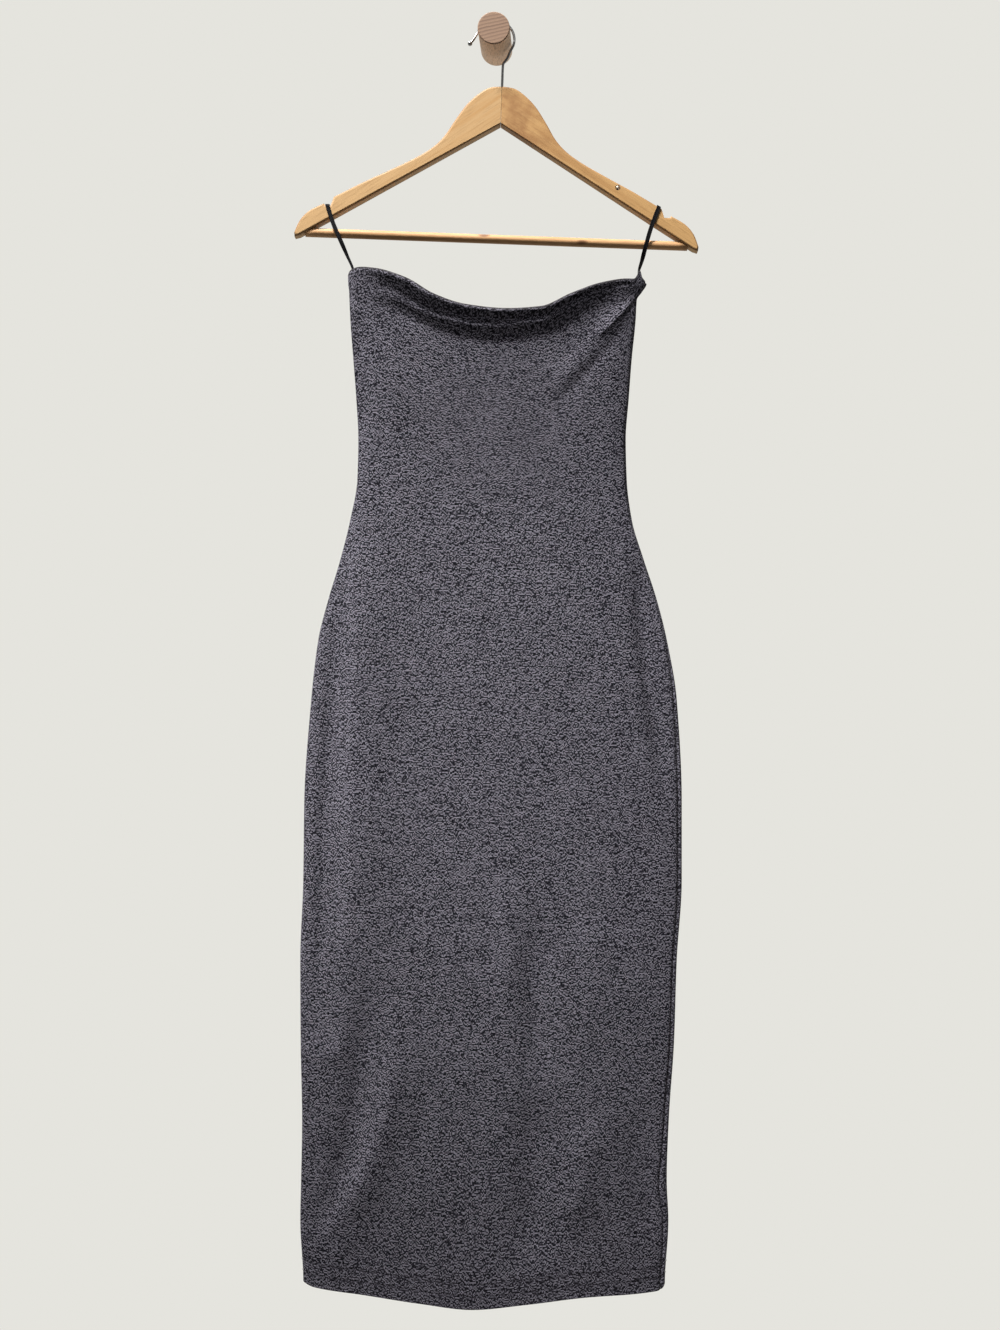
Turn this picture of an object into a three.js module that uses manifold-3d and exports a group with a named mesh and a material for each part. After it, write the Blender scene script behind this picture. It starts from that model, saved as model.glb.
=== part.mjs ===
// Strapless midi dress, hung by two ribbon loops on a wooden hanger and a round wall peg.
// Millimetres, +Z up. The origin is the middle of the peg's back face. The wall is the
// plane Y = 0, the dress hangs in front of it and its front faces -Y.
import * as THREE from "three";
import { mergeVertices } from "three/addons/utils/BufferGeometryUtils.js";
import Module from "manifold-3d";

const wasm = await Module();
wasm.setup();

// Shared fits
const GAP = 0.3;
const HANG_Y = -27;

// Dress cloth
const CLOTH = 1.5;
const RIM_CLOTH = 2.4;
const RIM_HEIGHT = 4.5;
const HEM_CLOTH = 2.2;
const HEM_HEIGHT = 26;
const EDGE_ROUND = 1.2;
const LEFT_SEAM_ARC = 6;

// Dress length: the level of the side corners, top and bottom
const TOP_Z = -262;
const HEM_Z = -1376;
const LENGTH = TOP_Z - HEM_Z;
const NECK_FADE = 260;
const HEM_FADE = 200;
const BACK_DROOP = 0.9;

// Level sections from the top corners to the hem. left and right are the outline,
// front and back the depths from the hanging plane, round the fullness of the section
// at its side edges, and seam how far round the front the right side seam has turned.
const SECTIONS = table(
  ["z", "left", "right", "front", "back", "round", "seam"],
  [
    [-254, -163, 167.5, 11, 9.5, 3.4, 3],
    [-270.5, -162.6, 167.7, 11, 9.5, 3.4, 3],
    [-279, -161.6, 160.5, 11, 9.5, 3.4, 3],
    [-288, -161.3, 153.6, 11.5, 9.5, 3.3, 3],
    [-310, -160.3, 152.3, 12, 9.5, 3.2, 3],
    [-354, -157, 147.9, 12.5, 9, 3, 3],
    [-398, -153.7, 144.6, 12, 8.5, 3, 3],
    [-442, -151.5, 141.3, 11.5, 8, 3, 3.3],
    [-486, -152.6, 142.4, 11.5, 8, 3, 3.5],
    [-530, -160.3, 147.9, 12, 8.5, 3, 3.5],
    [-574, -171.3, 161.1, 13, 9, 3, 3.5],
    [-618, -184.5, 175.4, 14, 9.5, 3, 3.5],
    [-662, -195.5, 186.4, 14.5, 10, 3, 4.5],
    [-728, -203.3, 197.4, 15, 10, 3, 7],
    [-839, -211, 202.9, 14.5, 10, 3, 7.5],
    [-927, -212.1, 202.9, 14, 10, 3, 7.5],
    [-1015, -215.4, 197.4, 13.5, 9.5, 3, 7.5],
    [-1103, -215, 194.5, 13, 9.5, 3, 7.5],
    [-1191, -213.4, 188.6, 12.5, 9, 3, 8],
    [-1257, -214.5, 186.4, 12.5, 9, 3, 10],
    [-1301, -215.4, 188.2, 12, 9, 3, 8.5],
    [-1367, -212.1, 184.4, 12, 9, 3, 8],
    [-1400, -212, 184, 12, 9, 3, 8],
  ],
);

// Neckline across the front, from the left edge (-1) to the right edge (1)
const NECKLINE = table(
  ["u", "z"],
  [
    [-1, -261],
    [-0.93, -256],
    [-0.82, -258],
    [-0.62, -268],
    [-0.4, -287],
    [-0.19, -298.5],
    [0.08, -303],
    [0.33, -300],
    [0.52, -286],
    [0.68, -274],
    [0.86, -268],
    [0.925, -259],
    [1, -271],
  ],
);

// Hemline: a shallow V with its corners turned up
const HEMLINE = table(
  ["u", "z"],
  [
    [-1, -1366],
    [-0.94, -1370.5],
    [-0.68, -1376.6],
    [-0.35, -1386.2],
    [-0.065, -1392.7],
    [0.23, -1387.3],
    [0.56, -1379.6],
    [0.97, -1374.8],
    [1, -1371.5],
  ],
);

// Cowl under the neckline: how far the rim hangs forward, where the soft ridge below
// it runs and how high that ridge stands
const COWL = table(
  ["u", "overhang", "ridgeAt", "ridge"],
  [
    [-1, 0, 26, 0],
    [-0.85, 3, 26, 0.8],
    [-0.6, 8, 26, 2.4],
    [-0.4, 11, 22, 2.6],
    [-0.1, 13, 18, 2.6],
    [0.15, 13, 16.5, 2.6],
    [0.35, 11, 14.5, 1.8],
    [0.55, 8, 13, 0.6],
    [0.75, 4, 13, 0],
    [0.9, 1.5, 13, 0],
    [1, 0, 13, 0],
  ],
);
const COWL_START = 1;
const COWL_REACH = 42;
const BACK_COWL = 0.35;
const RIM_ROLL = { at: 2.4, width: 2.3, height: 2.6, fade: 4 };
const RIM_TUCK = { at: 12.5, width: 5, height: -0.3 };
const RIDGE_WIDTH = 3.4;

// Relief fades out where the section turns in at its side edges
const RELIEF_SWELL = 0.7;

// Where the rim and hem thickness ends, across the dress, and how soon below the rim
const THICK_ACROSS = { full: 0.75, none: 0.9 };
const BAND_BLEND = 2;

// Soft folds. Each runs from (x0, z0) to (x1, z1), bowed sideways in its middle, and
// stands height proud of the cloth, or lies in it where height is negative. A fold rises
// and dies away over these shares of its length.
const FOLD_RISE = [-0.05, 0.3];
const FOLD_FALL = [0.7, 1.05];
const FOLD_COLUMNS = ["x0", "z0", "x1", "z1", "bow", "width", "height"];
const FRONT_FOLDS = table(FOLD_COLUMNS, [
  [152, -284, 76, -366, 4, 6, 3],
  [153, -292, 56, -418, 4, 4.5, -2.4],
  [-152, -290, -88, -370, 3, 9, 1.8],
  [-160, -279, -148, -300, 0, 4, -1.6],
  [-154, -545, -180, -1070, 9, 11, 2.4],
  [148, -590, 184, -820, 6, 9, -1.8],
  [-122, -1128, -204, -1322, 16, 11, 3.2],
  [-160, -1090, -188, -1275, 4, 12, -2.4],
  [-150, -1300, -186, -1352, 0, 12, 1.5],
  [-3, -930, -7, -1075, 0, 12, 1.6],
  [24, -965, 28, -1150, 0, 13, -1.7],
  [12, -1180, 18, -1325, 0, 16, -1.6],
  [86, -958, 150, -975, 0, 7, -0.8],
]);
const BACK_FOLDS = table(FOLD_COLUMNS, [
  [-148, -290, -70, -392, -4, 8, 2],
  [140, -292, 72, -385, 4, 8, 1.8],
  [-150, -560, -176, -980, -8, 12, 2],
  [160, -600, 178, -1020, 6, 11, 1.8],
  [118, -1110, 168, -1310, -12, 12, 2.4],
  [-30, -900, -22, -1120, 0, 14, -1.6],
  [-96, -1140, -120, -1330, 8, 13, 1.8],
]);

// How finely the cloth is worked out: points along half a section, crowded towards its
// side edges, then the rows down the cloth and the columns at a panel's side edges
const ROUND_STEPS = 150;
const EDGE_CROWDING = 0.7;
const NORMAL_REACH = 1.2;
const NECK_ROWS = [EDGE_ROUND, 3, 5, 8, 11, 14, 17, 20, 23.5, 28, 34, 42, 54, 72];
const EVEN_ROWS = 29;
const FRONT_COLUMNS = {
  fromSeam: [0, 3, 6.5, 10, 14, 19, 27],
  middle: 20,
  atEdge: [-28, -18, -11, -6, -2.5, 0, 2.5, LEFT_SEAM_ARC],
};
const BACK_COLUMNS = {
  fromSeam: [GAP, 4, 10, 20],
  middle: 12,
  atEdge: [-26, -14, -7, -3, 0],
};

// Hanger: its apex in the hanging plane, its tilt and its two arms
const APEX_X = 5.9;
const APEX_Z = -55.4;
const HANGER_TILT = 2.1;
const ARM_THICK = 13;
const ARM_BEVEL = 1.2;
const ARM_TOP = [
  [14, -1.9],
  [26, -9.5],
  [38, -21.3],
  [50, -38.7],
  [61, -56.4],
  [74, -69.7],
  [92, -81.6],
  [117, -94.7],
  [148, -110.2],
];
const SHOULDER = [180, -127.8];
const NOTCH = [
  [183.2, -137.3],
  [189.8, -137.3],
  [190.4, -135.2],
];
const CAP = [
  [206, -143.6],
  [216, -154.2],
  [222, -168],
];
const TIP = [
  [221.5, -172.6],
  [216, -171],
];
const ARM_FOOT = [180, -149.6];
const ARM_CROTCH = [0, -41.2];

// Trouser bar, hook, screw and peg
const BAR_RADIUS = 4.75;
const BAR_DROP = -166.3;
const BAR_HALF = 210;
const WIRE_RADIUS = 1.4;
const STEM_DEPTH = 24;
const STEM_CLEAR = 10;
const HOOK_STEM = [-8, 12, 21];
const HOOK_NECK = [[7.4, -28.2], [11.8, -22]];
const HOOK_RADIUS = 20.7;
const HOOK_X = -1.2;
const HOOK_TURN = { from: -38, to: 152, step: 19 };
const HOOK_END = [[-22.8, 2.6], [-25.8, -1.9]];
const HOOK_TIP = [-29.3, -6];
const HOOK_BALL = 2.5;
const SCREW_AT = [130.7, -106.5];
const SCREW_RADIUS = 2.8;
const SCREW_DEPTH = 1.6;
const SCREW_CLEAR = 2;
const PEG_RADIUS = 17.5;
const PEG_LENGTH = 50;
const PEG_CHAMFER = 1;
const PEG_LEAN = -3.2;
const SIDES = { arm: 3, bar: 20, stem: 12, screw: 20, wire: 10, ball: [14, 10], peg: 40 };
const HOOK_STEPS = 56;

// Ribbon loops
const RIBBON_WIDTH = 4.6;
const RIBBON_THICK = 1;
const RIBBON_Y = -27.35;
const RIBBON_STEPS = 2;
const LOOP_RAKE = 0.34;
// A ribbon turns from edge on, in the corner, to flat against the arm
const LOOP_TWIST = { tucked: 90, corner: 84, between: 58, underBar: 14 };
// The gap between its two strands opens from the corner to the arm
const LOOP_SPREAD = { between: 3.6, underBarInset: 0.7, topInset: 1.6 };
const LOOP_BELOW_BAR = 4;
const LOOP_TUCK_STOP = 0.4;
const LOOP_OVER_ARM = [3, 0.9];
const LEFT_LOOP = { armAt: 186.5, corner: [-158.3, -254], tuckIn: 0.6, tuckDown: 12 };
const RIGHT_LOOP = { armAt: 176.8, corner: [156.5, -256.5], tuckIn: 0.2, tuckDown: 23 };

function table(columns, rows) {
  return rows.map((row) => Object.fromEntries(columns.map((name, i) => [name, row[i]])));
}

function smooth(from, to, value) {
  const s = Math.min(1, Math.max(0, (value - from) / (to - from)));
  return s * s * (3 - 2 * s);
}

function bell(distance, width) {
  return Math.exp(-((distance / width) ** 2));
}

// Smooth curve through a table's rows, with no overshoot between them
function follow(rows, by, key, value) {
  const last = rows.length - 1;
  const way = Math.sign(rows[last][by] - rows[0][by]);
  if ((value - rows[0][by]) * way <= 0) return rows[0][key];
  if ((value - rows[last][by]) * way >= 0) return rows[last][key];
  const slope = (k) => (rows[k + 1][key] - rows[k][key]) / (rows[k + 1][by] - rows[k][by]);
  const tangent = (k) => {
    if (k === 0) return slope(0);
    if (k === last) return slope(last - 1);
    const before = slope(k - 1);
    const after = slope(k);
    return before * after <= 0 ? 0 : (2 * before * after) / (before + after);
  };
  let k = 0;
  while ((value - rows[k + 1][by]) * way > 0) k += 1;
  const span = rows[k + 1][by] - rows[k][by];
  const s = (value - rows[k][by]) / span;
  const rise = s * s * (3 - 2 * s);
  const lead = span * s * (1 - s) * (1 - s);
  const trail = span * s * s * (s - 1);
  const step = rows[k + 1][key] - rows[k][key];
  return rows[k][key] + step * rise + tangent(k) * lead + tangent(k + 1) * trail;
}

// Height of the point a length t down the cloth from the neckline
function clothHeight(u, isBack, t) {
  const droop = isBack ? 1 - (1 - BACK_DROOP) * (1 - u * u) : 1;
  const neck = (follow(NECKLINE, "u", "z", u) - TOP_Z) * droop;
  const hem = follow(HEMLINE, "u", "z", u) - HEM_Z;
  const level = TOP_Z - t;
  return level + neck * (1 - smooth(0, NECK_FADE, t)) + hem * smooth(LENGTH - HEM_FADE, LENGTH, t);
}

// How far the cowl carries the front cloth forward
function cowlRelief(u, t) {
  const overhang = follow(COWL, "u", "overhang", u);
  const ridgeAt = follow(COWL, "u", "ridgeAt", u);
  const ridge = follow(COWL, "u", "ridge", u);
  const rolled = RIM_ROLL.height * (1 - Math.abs(u) ** RIM_ROLL.fade);
  const roll = rolled * bell(t - RIM_ROLL.at, RIM_ROLL.width);
  const tuck = RIM_TUCK.height * overhang * bell(t - RIM_TUCK.at, RIM_TUCK.width);
  const hang = overhang * (1 - smooth(COWL_START, COWL_REACH, t));
  return hang + roll + tuck + ridge * bell(t - ridgeAt, RIDGE_WIDTH);
}

function foldRelief(folds, x, z) {
  let relief = 0;
  for (const fold of folds) {
    const length = Math.hypot(fold.x1 - fold.x0, fold.z1 - fold.z0);
    const alongX = (fold.x1 - fold.x0) / length;
    const alongZ = (fold.z1 - fold.z0) / length;
    const s = ((x - fold.x0) * alongX + (z - fold.z0) * alongZ) / length;
    const aside = (z - fold.z0) * alongX - (x - fold.x0) * alongZ;
    const fade = smooth(...FOLD_RISE, s) * (1 - smooth(...FOLD_FALL, s));
    relief += fold.height * fade * bell(aside - fold.bow * 4 * s * (1 - s), fold.width);
  }
  return relief;
}

// One point of the dress's outer face, u across from the left edge to the right edge
function outerPoint(u, isBack, t) {
  const z = clothHeight(u, isBack, t);
  const left = follow(SECTIONS, "z", "left", z);
  const right = follow(SECTIONS, "z", "right", z);
  const round = follow(SECTIONS, "z", "round", z);
  const depth = follow(SECTIONS, "z", isBack ? "back" : "front", z);
  const x = left + (right - left) * (u + 1) * 0.5;
  const swell = Math.max(0, 1 - Math.abs(u) ** round) ** (1 / round);
  const cowl = cowlRelief(u, t) * (isBack ? BACK_COWL : 1);
  const folds = foldRelief(isBack ? BACK_FOLDS : FRONT_FOLDS, x, z);
  const out = depth * swell + (cowl + folds) * smooth(0, RELIEF_SWELL, swell);
  return new THREE.Vector3(x, isBack ? HANG_Y + out : HANG_Y - out, z);
}

// The whole way round the dress at length t: across the front from the right edge to
// the left edge, then back across the back, with the arc length of each point
function clothRing(t) {
  const points = [];
  for (let i = 0; i < 2 * ROUND_STEPS; i += 1) {
    const isBack = i >= ROUND_STEPS;
    const s = (i % ROUND_STEPS) / ROUND_STEPS;
    const across = EDGE_CROWDING * Math.cos(Math.PI * s) + (1 - EDGE_CROWDING) * (1 - 2 * s);
    points.push(outerPoint(isBack ? -across : across, isBack, t));
  }
  points.push(points[0].clone());
  const arcs = [0];
  for (let i = 1; i < points.length; i += 1) {
    const step = Math.hypot(points[i].x - points[i - 1].x, points[i].y - points[i - 1].y);
    arcs.push(arcs[i - 1] + step);
  }
  return { points, arcs, half: arcs[ROUND_STEPS], whole: arcs[2 * ROUND_STEPS] };
}

function onRing(ring, arc) {
  const wrapped = ((arc % ring.whole) + ring.whole) % ring.whole;
  let low = 0;
  let high = ring.arcs.length - 1;
  while (high - low > 1) {
    const middle = (low + high) >> 1;
    if (ring.arcs[middle] <= wrapped) low = middle;
    else high = middle;
  }
  const s = (wrapped - ring.arcs[low]) / (ring.arcs[high] - ring.arcs[low]);
  return ring.points[low].clone().lerp(ring.points[high], s);
}

// Cloth thickness: thicker at the turned rim, away from the corners, and at the hem
function clothThickness(point, ring, t) {
  const middle = (ring.points[0].x + ring.points[ROUND_STEPS].x) * 0.5;
  const halfWidth = (ring.points[0].x - ring.points[ROUND_STEPS].x) * 0.5;
  const u = Math.abs(point.x - middle) / halfWidth;
  const hemTop = LENGTH - HEM_HEIGHT;
  const rim = (RIM_CLOTH - CLOTH) * (1 - smooth(RIM_HEIGHT, RIM_HEIGHT + BAND_BLEND, t));
  const hem = (HEM_CLOTH - CLOTH) * smooth(hemTop - BAND_BLEND, hemTop, t);
  return CLOTH + (rim + hem) * (1 - smooth(THICK_ACROSS.full, THICK_ACROSS.none, u));
}

function innerPoint(ring, arc, thickness) {
  const ahead = onRing(ring, arc + NORMAL_REACH);
  const behind = onRing(ring, arc - NORMAL_REACH);
  const inward = new THREE.Vector3(behind.y - ahead.y, ahead.x - behind.x, 0).normalize();
  return onRing(ring, arc).addScaledVector(inward, -thickness);
}

// Row spacing down the cloth: close under the neckline, then even, then the hem band
function rowLengths() {
  const rows = [...NECK_ROWS];
  const start = rows[rows.length - 1];
  const step = (LENGTH - HEM_HEIGHT - start) / EVEN_ROWS;
  for (let i = 1; i <= EVEN_ROWS; i += 1) rows.push(start + step * i);
  rows.push(LENGTH - HEM_HEIGHT * 0.5, LENGTH - EDGE_ROUND);
  return rows;
}

// Column arcs of a panel: close at each side edge, even between
function spreadArcs(startArcs, endArcs, middleSteps) {
  const from = startArcs[startArcs.length - 1];
  const to = endArcs[0];
  const arcs = [...startArcs];
  for (let i = 1; i < middleSteps; i += 1) arcs.push(from + ((to - from) * i) / middleSteps);
  return [...arcs, ...endArcs];
}

function frontArcs(ring, seam) {
  const start = FRONT_COLUMNS.fromSeam.map((step) => seam + step);
  const end = FRONT_COLUMNS.atEdge.map((step) => ring.half + step);
  return spreadArcs(start, end, FRONT_COLUMNS.middle);
}

function backArcs(ring, seam) {
  const start = BACK_COLUMNS.fromSeam.map((step) => ring.half + LEFT_SEAM_ARC + step);
  const end = BACK_COLUMNS.atEdge.map((step) => ring.whole + step);
  const wrap = [0.5 * seam, seam - GAP].map((step) => ring.whole + step);
  return spreadArcs(start, [...end, ...wrap], BACK_COLUMNS.middle);
}

// Closed wall from the rows of a panel's outer and inner points, with rounded free edges
function panelGeometry(arcsOf) {
  const outer = [];
  const inner = [];
  for (const t of rowLengths()) {
    const ring = clothRing(t);
    const seam = follow(SECTIONS, "z", "seam", TOP_Z - t);
    const arcs = arcsOf(ring, seam);
    outer.push(arcs.map((arc) => onRing(ring, arc)));
    inner.push(arcs.map((arc) => {
      return innerPoint(ring, arc, clothThickness(onRing(ring, arc), ring, t));
    }));
  }
  const rows = outer.length;
  const columns = outer[0].length;
  const edge = (row, lift) => outer[row].map((point, column) => {
    const middle = point.clone().add(inner[row][column]).multiplyScalar(0.5);
    return middle.add(new THREE.Vector3(0, 0, lift));
  });
  const loop = [edge(0, EDGE_ROUND), ...outer, edge(rows - 1, -EDGE_ROUND)];
  loop.push(...inner.toReversed());
  return closedSheet(loop, columns);
}

// Solid from rows of points that close on themselves, capped along both side columns
function closedSheet(loop, columns) {
  const positions = [];
  const indices = [];
  for (const row of loop) for (const point of row) positions.push(point.x, point.y, point.z);
  const at = (row, column) => (row % loop.length) * columns + column;
  for (let row = 0; row < loop.length; row += 1) {
    for (let column = 0; column < columns - 1; column += 1) {
      const a = at(row, column);
      const b = at(row, column + 1);
      const c = at(row + 1, column + 1);
      const d = at(row + 1, column);
      indices.push(a, b, c, a, c, d);
    }
  }
  // The loop is the top edge, the outer rows, the bottom edge and the inner rows upward
  const body = (loop.length - 2) / 2;
  for (const [column, turned] of [[0, false], [columns - 1, true]]) {
    for (let row = 0; row <= body; row += 1) {
      const outerNow = at(row, column);
      const outerNext = at(row + 1, column);
      const innerNow = at(loop.length - row, column);
      const innerNext = at(loop.length - row - 1, column);
      addSideFace(indices, outerNow, outerNext, innerNext, innerNow, turned);
    }
  }
  const geometry = new THREE.BufferGeometry();
  geometry.setAttribute("position", new THREE.Float32BufferAttribute(positions, 3));
  geometry.setIndex(indices);
  return outward(geometry);
}

function addSideFace(indices, a, b, c, d, turned) {
  const faces = [[a, b, c], [a, c, d]];
  for (const face of faces) {
    if (new Set(face).size < 3) continue;
    indices.push(...(turned ? face.toReversed() : face));
  }
}

// Faces pointing out: a closed mesh turned inside out has a negative volume
function outward(geometry) {
  const place = geometry.attributes.position;
  const index = geometry.index.array;
  const corner = [new THREE.Vector3(), new THREE.Vector3(), new THREE.Vector3()];
  let volume = 0;
  for (let i = 0; i < index.length; i += 3) {
    corner.forEach((point, k) => point.fromBufferAttribute(place, index[i + k]));
    volume += corner[0].dot(corner[1].clone().cross(corner[2]));
  }
  if (volume < 0) geometry.setIndex(Array.from(index).reverse());
  geometry.computeVertexNormals();
  return geometry;
}

// Booleans
function solidOf(geometry) {
  const bare = geometry.clone();
  bare.deleteAttribute("normal");
  bare.deleteAttribute("uv");
  const merged = mergeVertices(bare, 1e-4);
  const vertProperties = new Float32Array(merged.attributes.position.array);
  const triVerts = new Uint32Array(merged.index.array);
  return new wasm.Manifold(new wasm.Mesh({ numProp: 3, vertProperties, triVerts }));
}

function geometryOf(solid) {
  const mesh = solid.getMesh();
  const geometry = new THREE.BufferGeometry();
  geometry.setAttribute("position", new THREE.BufferAttribute(mesh.vertProperties, 3));
  geometry.setIndex(new THREE.BufferAttribute(mesh.triVerts, 1));
  geometry.computeVertexNormals();
  return geometry;
}

function cutAway(geometry, tools) {
  let solid = solidOf(geometry);
  for (const tool of tools) solid = solid.subtract(solidOf(tool));
  return geometryOf(solid);
}

// Hanger
const TILT = THREE.MathUtils.degToRad(HANGER_TILT);

// A point of the hanging plane, seen in the hanger's own tilted frame
function intoHanger(x, z) {
  const dx = x - APEX_X;
  const dz = z - APEX_Z;
  return new THREE.Vector3(
    dx * Math.cos(TILT) - dz * Math.sin(TILT),
    0,
    dx * Math.sin(TILT) + dz * Math.cos(TILT),
  );
}

// A point of the hanger's own frame, seen in the part's frame
function fromHanger(x, y, z) {
  return new THREE.Vector3(
    APEX_X + x * Math.cos(TILT) + z * Math.sin(TILT),
    HANG_Y + y,
    APEX_Z - x * Math.sin(TILT) + z * Math.cos(TILT),
  );
}

function armShape(side) {
  const place = (point) => new THREE.Vector2(side * point[0], point[1]);
  const inner = side * GAP * 0.5;
  const shape = new THREE.Shape();
  shape.moveTo(inner, ARM_CROTCH[1]);
  shape.lineTo(inner, 0);
  shape.splineThru(ARM_TOP.map(place));
  shape.lineTo(side * SHOULDER[0], SHOULDER[1]);
  for (const point of NOTCH) shape.lineTo(side * point[0], point[1]);
  shape.splineThru(CAP.map(place));
  for (const point of TIP) shape.lineTo(side * point[0], point[1]);
  shape.lineTo(side * ARM_FOOT[0], ARM_FOOT[1]);
  shape.closePath();
  return shape;
}

function rodGeometry(radius, length, sides) {
  return new THREE.CylinderGeometry(radius, radius, length, sides);
}

// A rod along the trouser bar's line
function barRod(radius, length) {
  return rodGeometry(radius, length, SIDES.bar).rotateZ(Math.PI / 2).translate(0, 0, BAR_DROP);
}

function stemCutter() {
  const cutter = rodGeometry(WIRE_RADIUS + GAP, STEM_DEPTH + STEM_CLEAR, SIDES.stem);
  return cutter.rotateX(Math.PI / 2).translate(0, 0, (STEM_CLEAR - STEM_DEPTH - GAP) * 0.5);
}

function screwCutter() {
  const depth = SCREW_DEPTH + GAP + SCREW_CLEAR;
  const cutter = rodGeometry(SCREW_RADIUS + GAP, depth, SIDES.screw);
  const front = -ARM_THICK * 0.5;
  return cutter.translate(SCREW_AT[0], front + SCREW_DEPTH + GAP - depth * 0.5, SCREW_AT[1]);
}

function armGeometry(side) {
  const settings = {
    depth: ARM_THICK - 2 * ARM_BEVEL,
    curveSegments: SIDES.arm,
    bevelThickness: ARM_BEVEL,
    bevelSize: ARM_BEVEL,
    bevelOffset: -ARM_BEVEL,
    bevelSegments: 1,
  };
  const blank = new THREE.ExtrudeGeometry(armShape(side), settings);
  blank.translate(0, 0, -ARM_THICK * 0.5 + ARM_BEVEL).rotateX(Math.PI / 2);
  const tools = [barRod(BAR_RADIUS + GAP, 2 * (BAR_HALF + GAP)), stemCutter()];
  if (side > 0) tools.push(screwCutter());
  return cutAway(blank, tools);
}

function screwGeometry() {
  const screw = rodGeometry(SCREW_RADIUS, SCREW_DEPTH, SIDES.screw);
  const front = -ARM_THICK * 0.5;
  return screw.translate(SCREW_AT[0], front + SCREW_DEPTH * 0.5, SCREW_AT[1]);
}

// Hook: up the stem, round over the peg and out to the ball at its tip
function hookCurve() {
  const centreZ = PEG_RADIUS + GAP + WIRE_RADIUS - HOOK_RADIUS;
  const stem = [-STEM_DEPTH, ...HOOK_STEM].map((z) => new THREE.Vector3(0, 0, z));
  const turn = [];
  for (let angle = HOOK_TURN.from; angle <= HOOK_TURN.to; angle += HOOK_TURN.step) {
    const radians = THREE.MathUtils.degToRad(angle);
    const x = HOOK_X + HOOK_RADIUS * Math.cos(radians);
    turn.push([x, centreZ + HOOK_RADIUS * Math.sin(radians)]);
  }
  const bend = [...HOOK_NECK, ...turn, ...HOOK_END, HOOK_TIP].map(([x, z]) => intoHanger(x, z));
  return new THREE.CatmullRomCurve3([...stem, ...bend], false, "centripetal");
}

function wireGeometry(curve, radius, sides, steps) {
  const round = new THREE.Shape();
  round.absarc(0, 0, radius, 0, 2 * Math.PI, false);
  const settings = { extrudePath: curve, steps, curveSegments: sides / 2, bevelEnabled: false };
  return new THREE.ExtrudeGeometry(round, settings);
}

function hookGeometry() {
  const wire = solidOf(wireGeometry(hookCurve(), WIRE_RADIUS, SIDES.wire, HOOK_STEPS));
  const tip = intoHanger(...HOOK_TIP);
  const ball = new THREE.SphereGeometry(HOOK_BALL, ...SIDES.ball).translate(tip.x, 0, tip.z);
  return geometryOf(wire.add(solidOf(ball)));
}

// Peg: a plain round dowel that leans a little to the left
function pegGeometry() {
  const profile = [
    [0, 0],
    [PEG_RADIUS, 0],
    [PEG_RADIUS, PEG_LENGTH - PEG_CHAMFER],
    [PEG_RADIUS - PEG_CHAMFER, PEG_LENGTH],
    [0, PEG_LENGTH],
  ].map(([radius, along]) => new THREE.Vector2(radius, along));
  const dowel = new THREE.LatheGeometry(profile, SIDES.peg).rotateX(Math.PI);
  const aside = -PEG_LEAN / PEG_LENGTH;
  const lean = new THREE.Matrix4().set(1, aside, 0, 0, 0, 1, 0, 0, 0, 0, 1, 0, 0, 0, 0, 1);
  return geometryOf(solidOf(dowel.applyMatrix4(lean)));
}

// Ribbon loop: up in front of the arm, over it and down behind, its ends tucked into
// the corner of the neckline. side is -1 for the left loop and 1 for the right one.
function loopStations(side, { armAt, corner, tuckIn, tuckDown }) {
  const off = RIBBON_THICK * 0.5 + GAP;
  const face = ARM_THICK * 0.5 + off;
  const seat = armSeat(armAt);
  const drop = ((ARM_FOOT[1] - ARM_CROTCH[1]) / ARM_FOOT[0]) * armAt + ARM_CROTCH[1];
  const onArm = (way, down) => {
    return fromHanger(side * (armAt - LOOP_RAKE * down), way * face, seat.height - down);
  };
  const barZ = fromHanger(side * armAt, 0, BAR_DROP).z;
  const strand = (way) => {
    const low = onArm(way, seat.height - drop);
    const aside = way * (RIBBON_THICK + GAP) * 0.5;
    const end = new THREE.Vector3(corner[0] + aside, RIBBON_Y, corner[1]);
    const tuck = new THREE.Vector3(-side * tuckIn, 0, -tuckDown);
    const between = (s, y) => new THREE.Vector3(
      end.x + (low.x - end.x) * s,
      HANG_Y + way * y,
      end.z + (low.z - end.z) * s,
    );
    const underBar = (barZ - BAR_RADIUS - LOOP_BELOW_BAR - end.z) / (low.z - end.z);
    const overArm = way * (face - LOOP_SPREAD.topInset);
    return [
      station(end.clone().add(tuck), LOOP_TWIST.tucked, 0),
      station(end.clone().addScaledVector(tuck, LOOP_TUCK_STOP), LOOP_TWIST.tucked, 0),
      station(end, LOOP_TWIST.corner, 0),
      station(between(underBar * 0.5, LOOP_SPREAD.between), LOOP_TWIST.between, 0),
      station(between(underBar, face - LOOP_SPREAD.underBarInset), LOOP_TWIST.underBar, 0),
      station(low, 0, 0),
      ...LOOP_OVER_ARM.map((down) => station(onArm(way, down), 0, seat.slope)),
      station(fromHanger(side * armAt, overArm, seat.height + off), 0, seat.slope),
    ];
  };
  return [...strand(-1), ...strand(1).toReversed()];
}

// A stop on the ribbon's way. Its width lies along X, turned by twist towards Y, and
// leans down to the right by slope. Both are in degrees.
function station(place, twist, slope) {
  const turn = THREE.MathUtils.degToRad(twist);
  const lean = THREE.MathUtils.degToRad(slope);
  const level = Math.cos(turn);
  const flat = new THREE.Vector3(level * Math.cos(lean), Math.sin(turn), -level * Math.sin(lean));
  return { place, flat };
}

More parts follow.
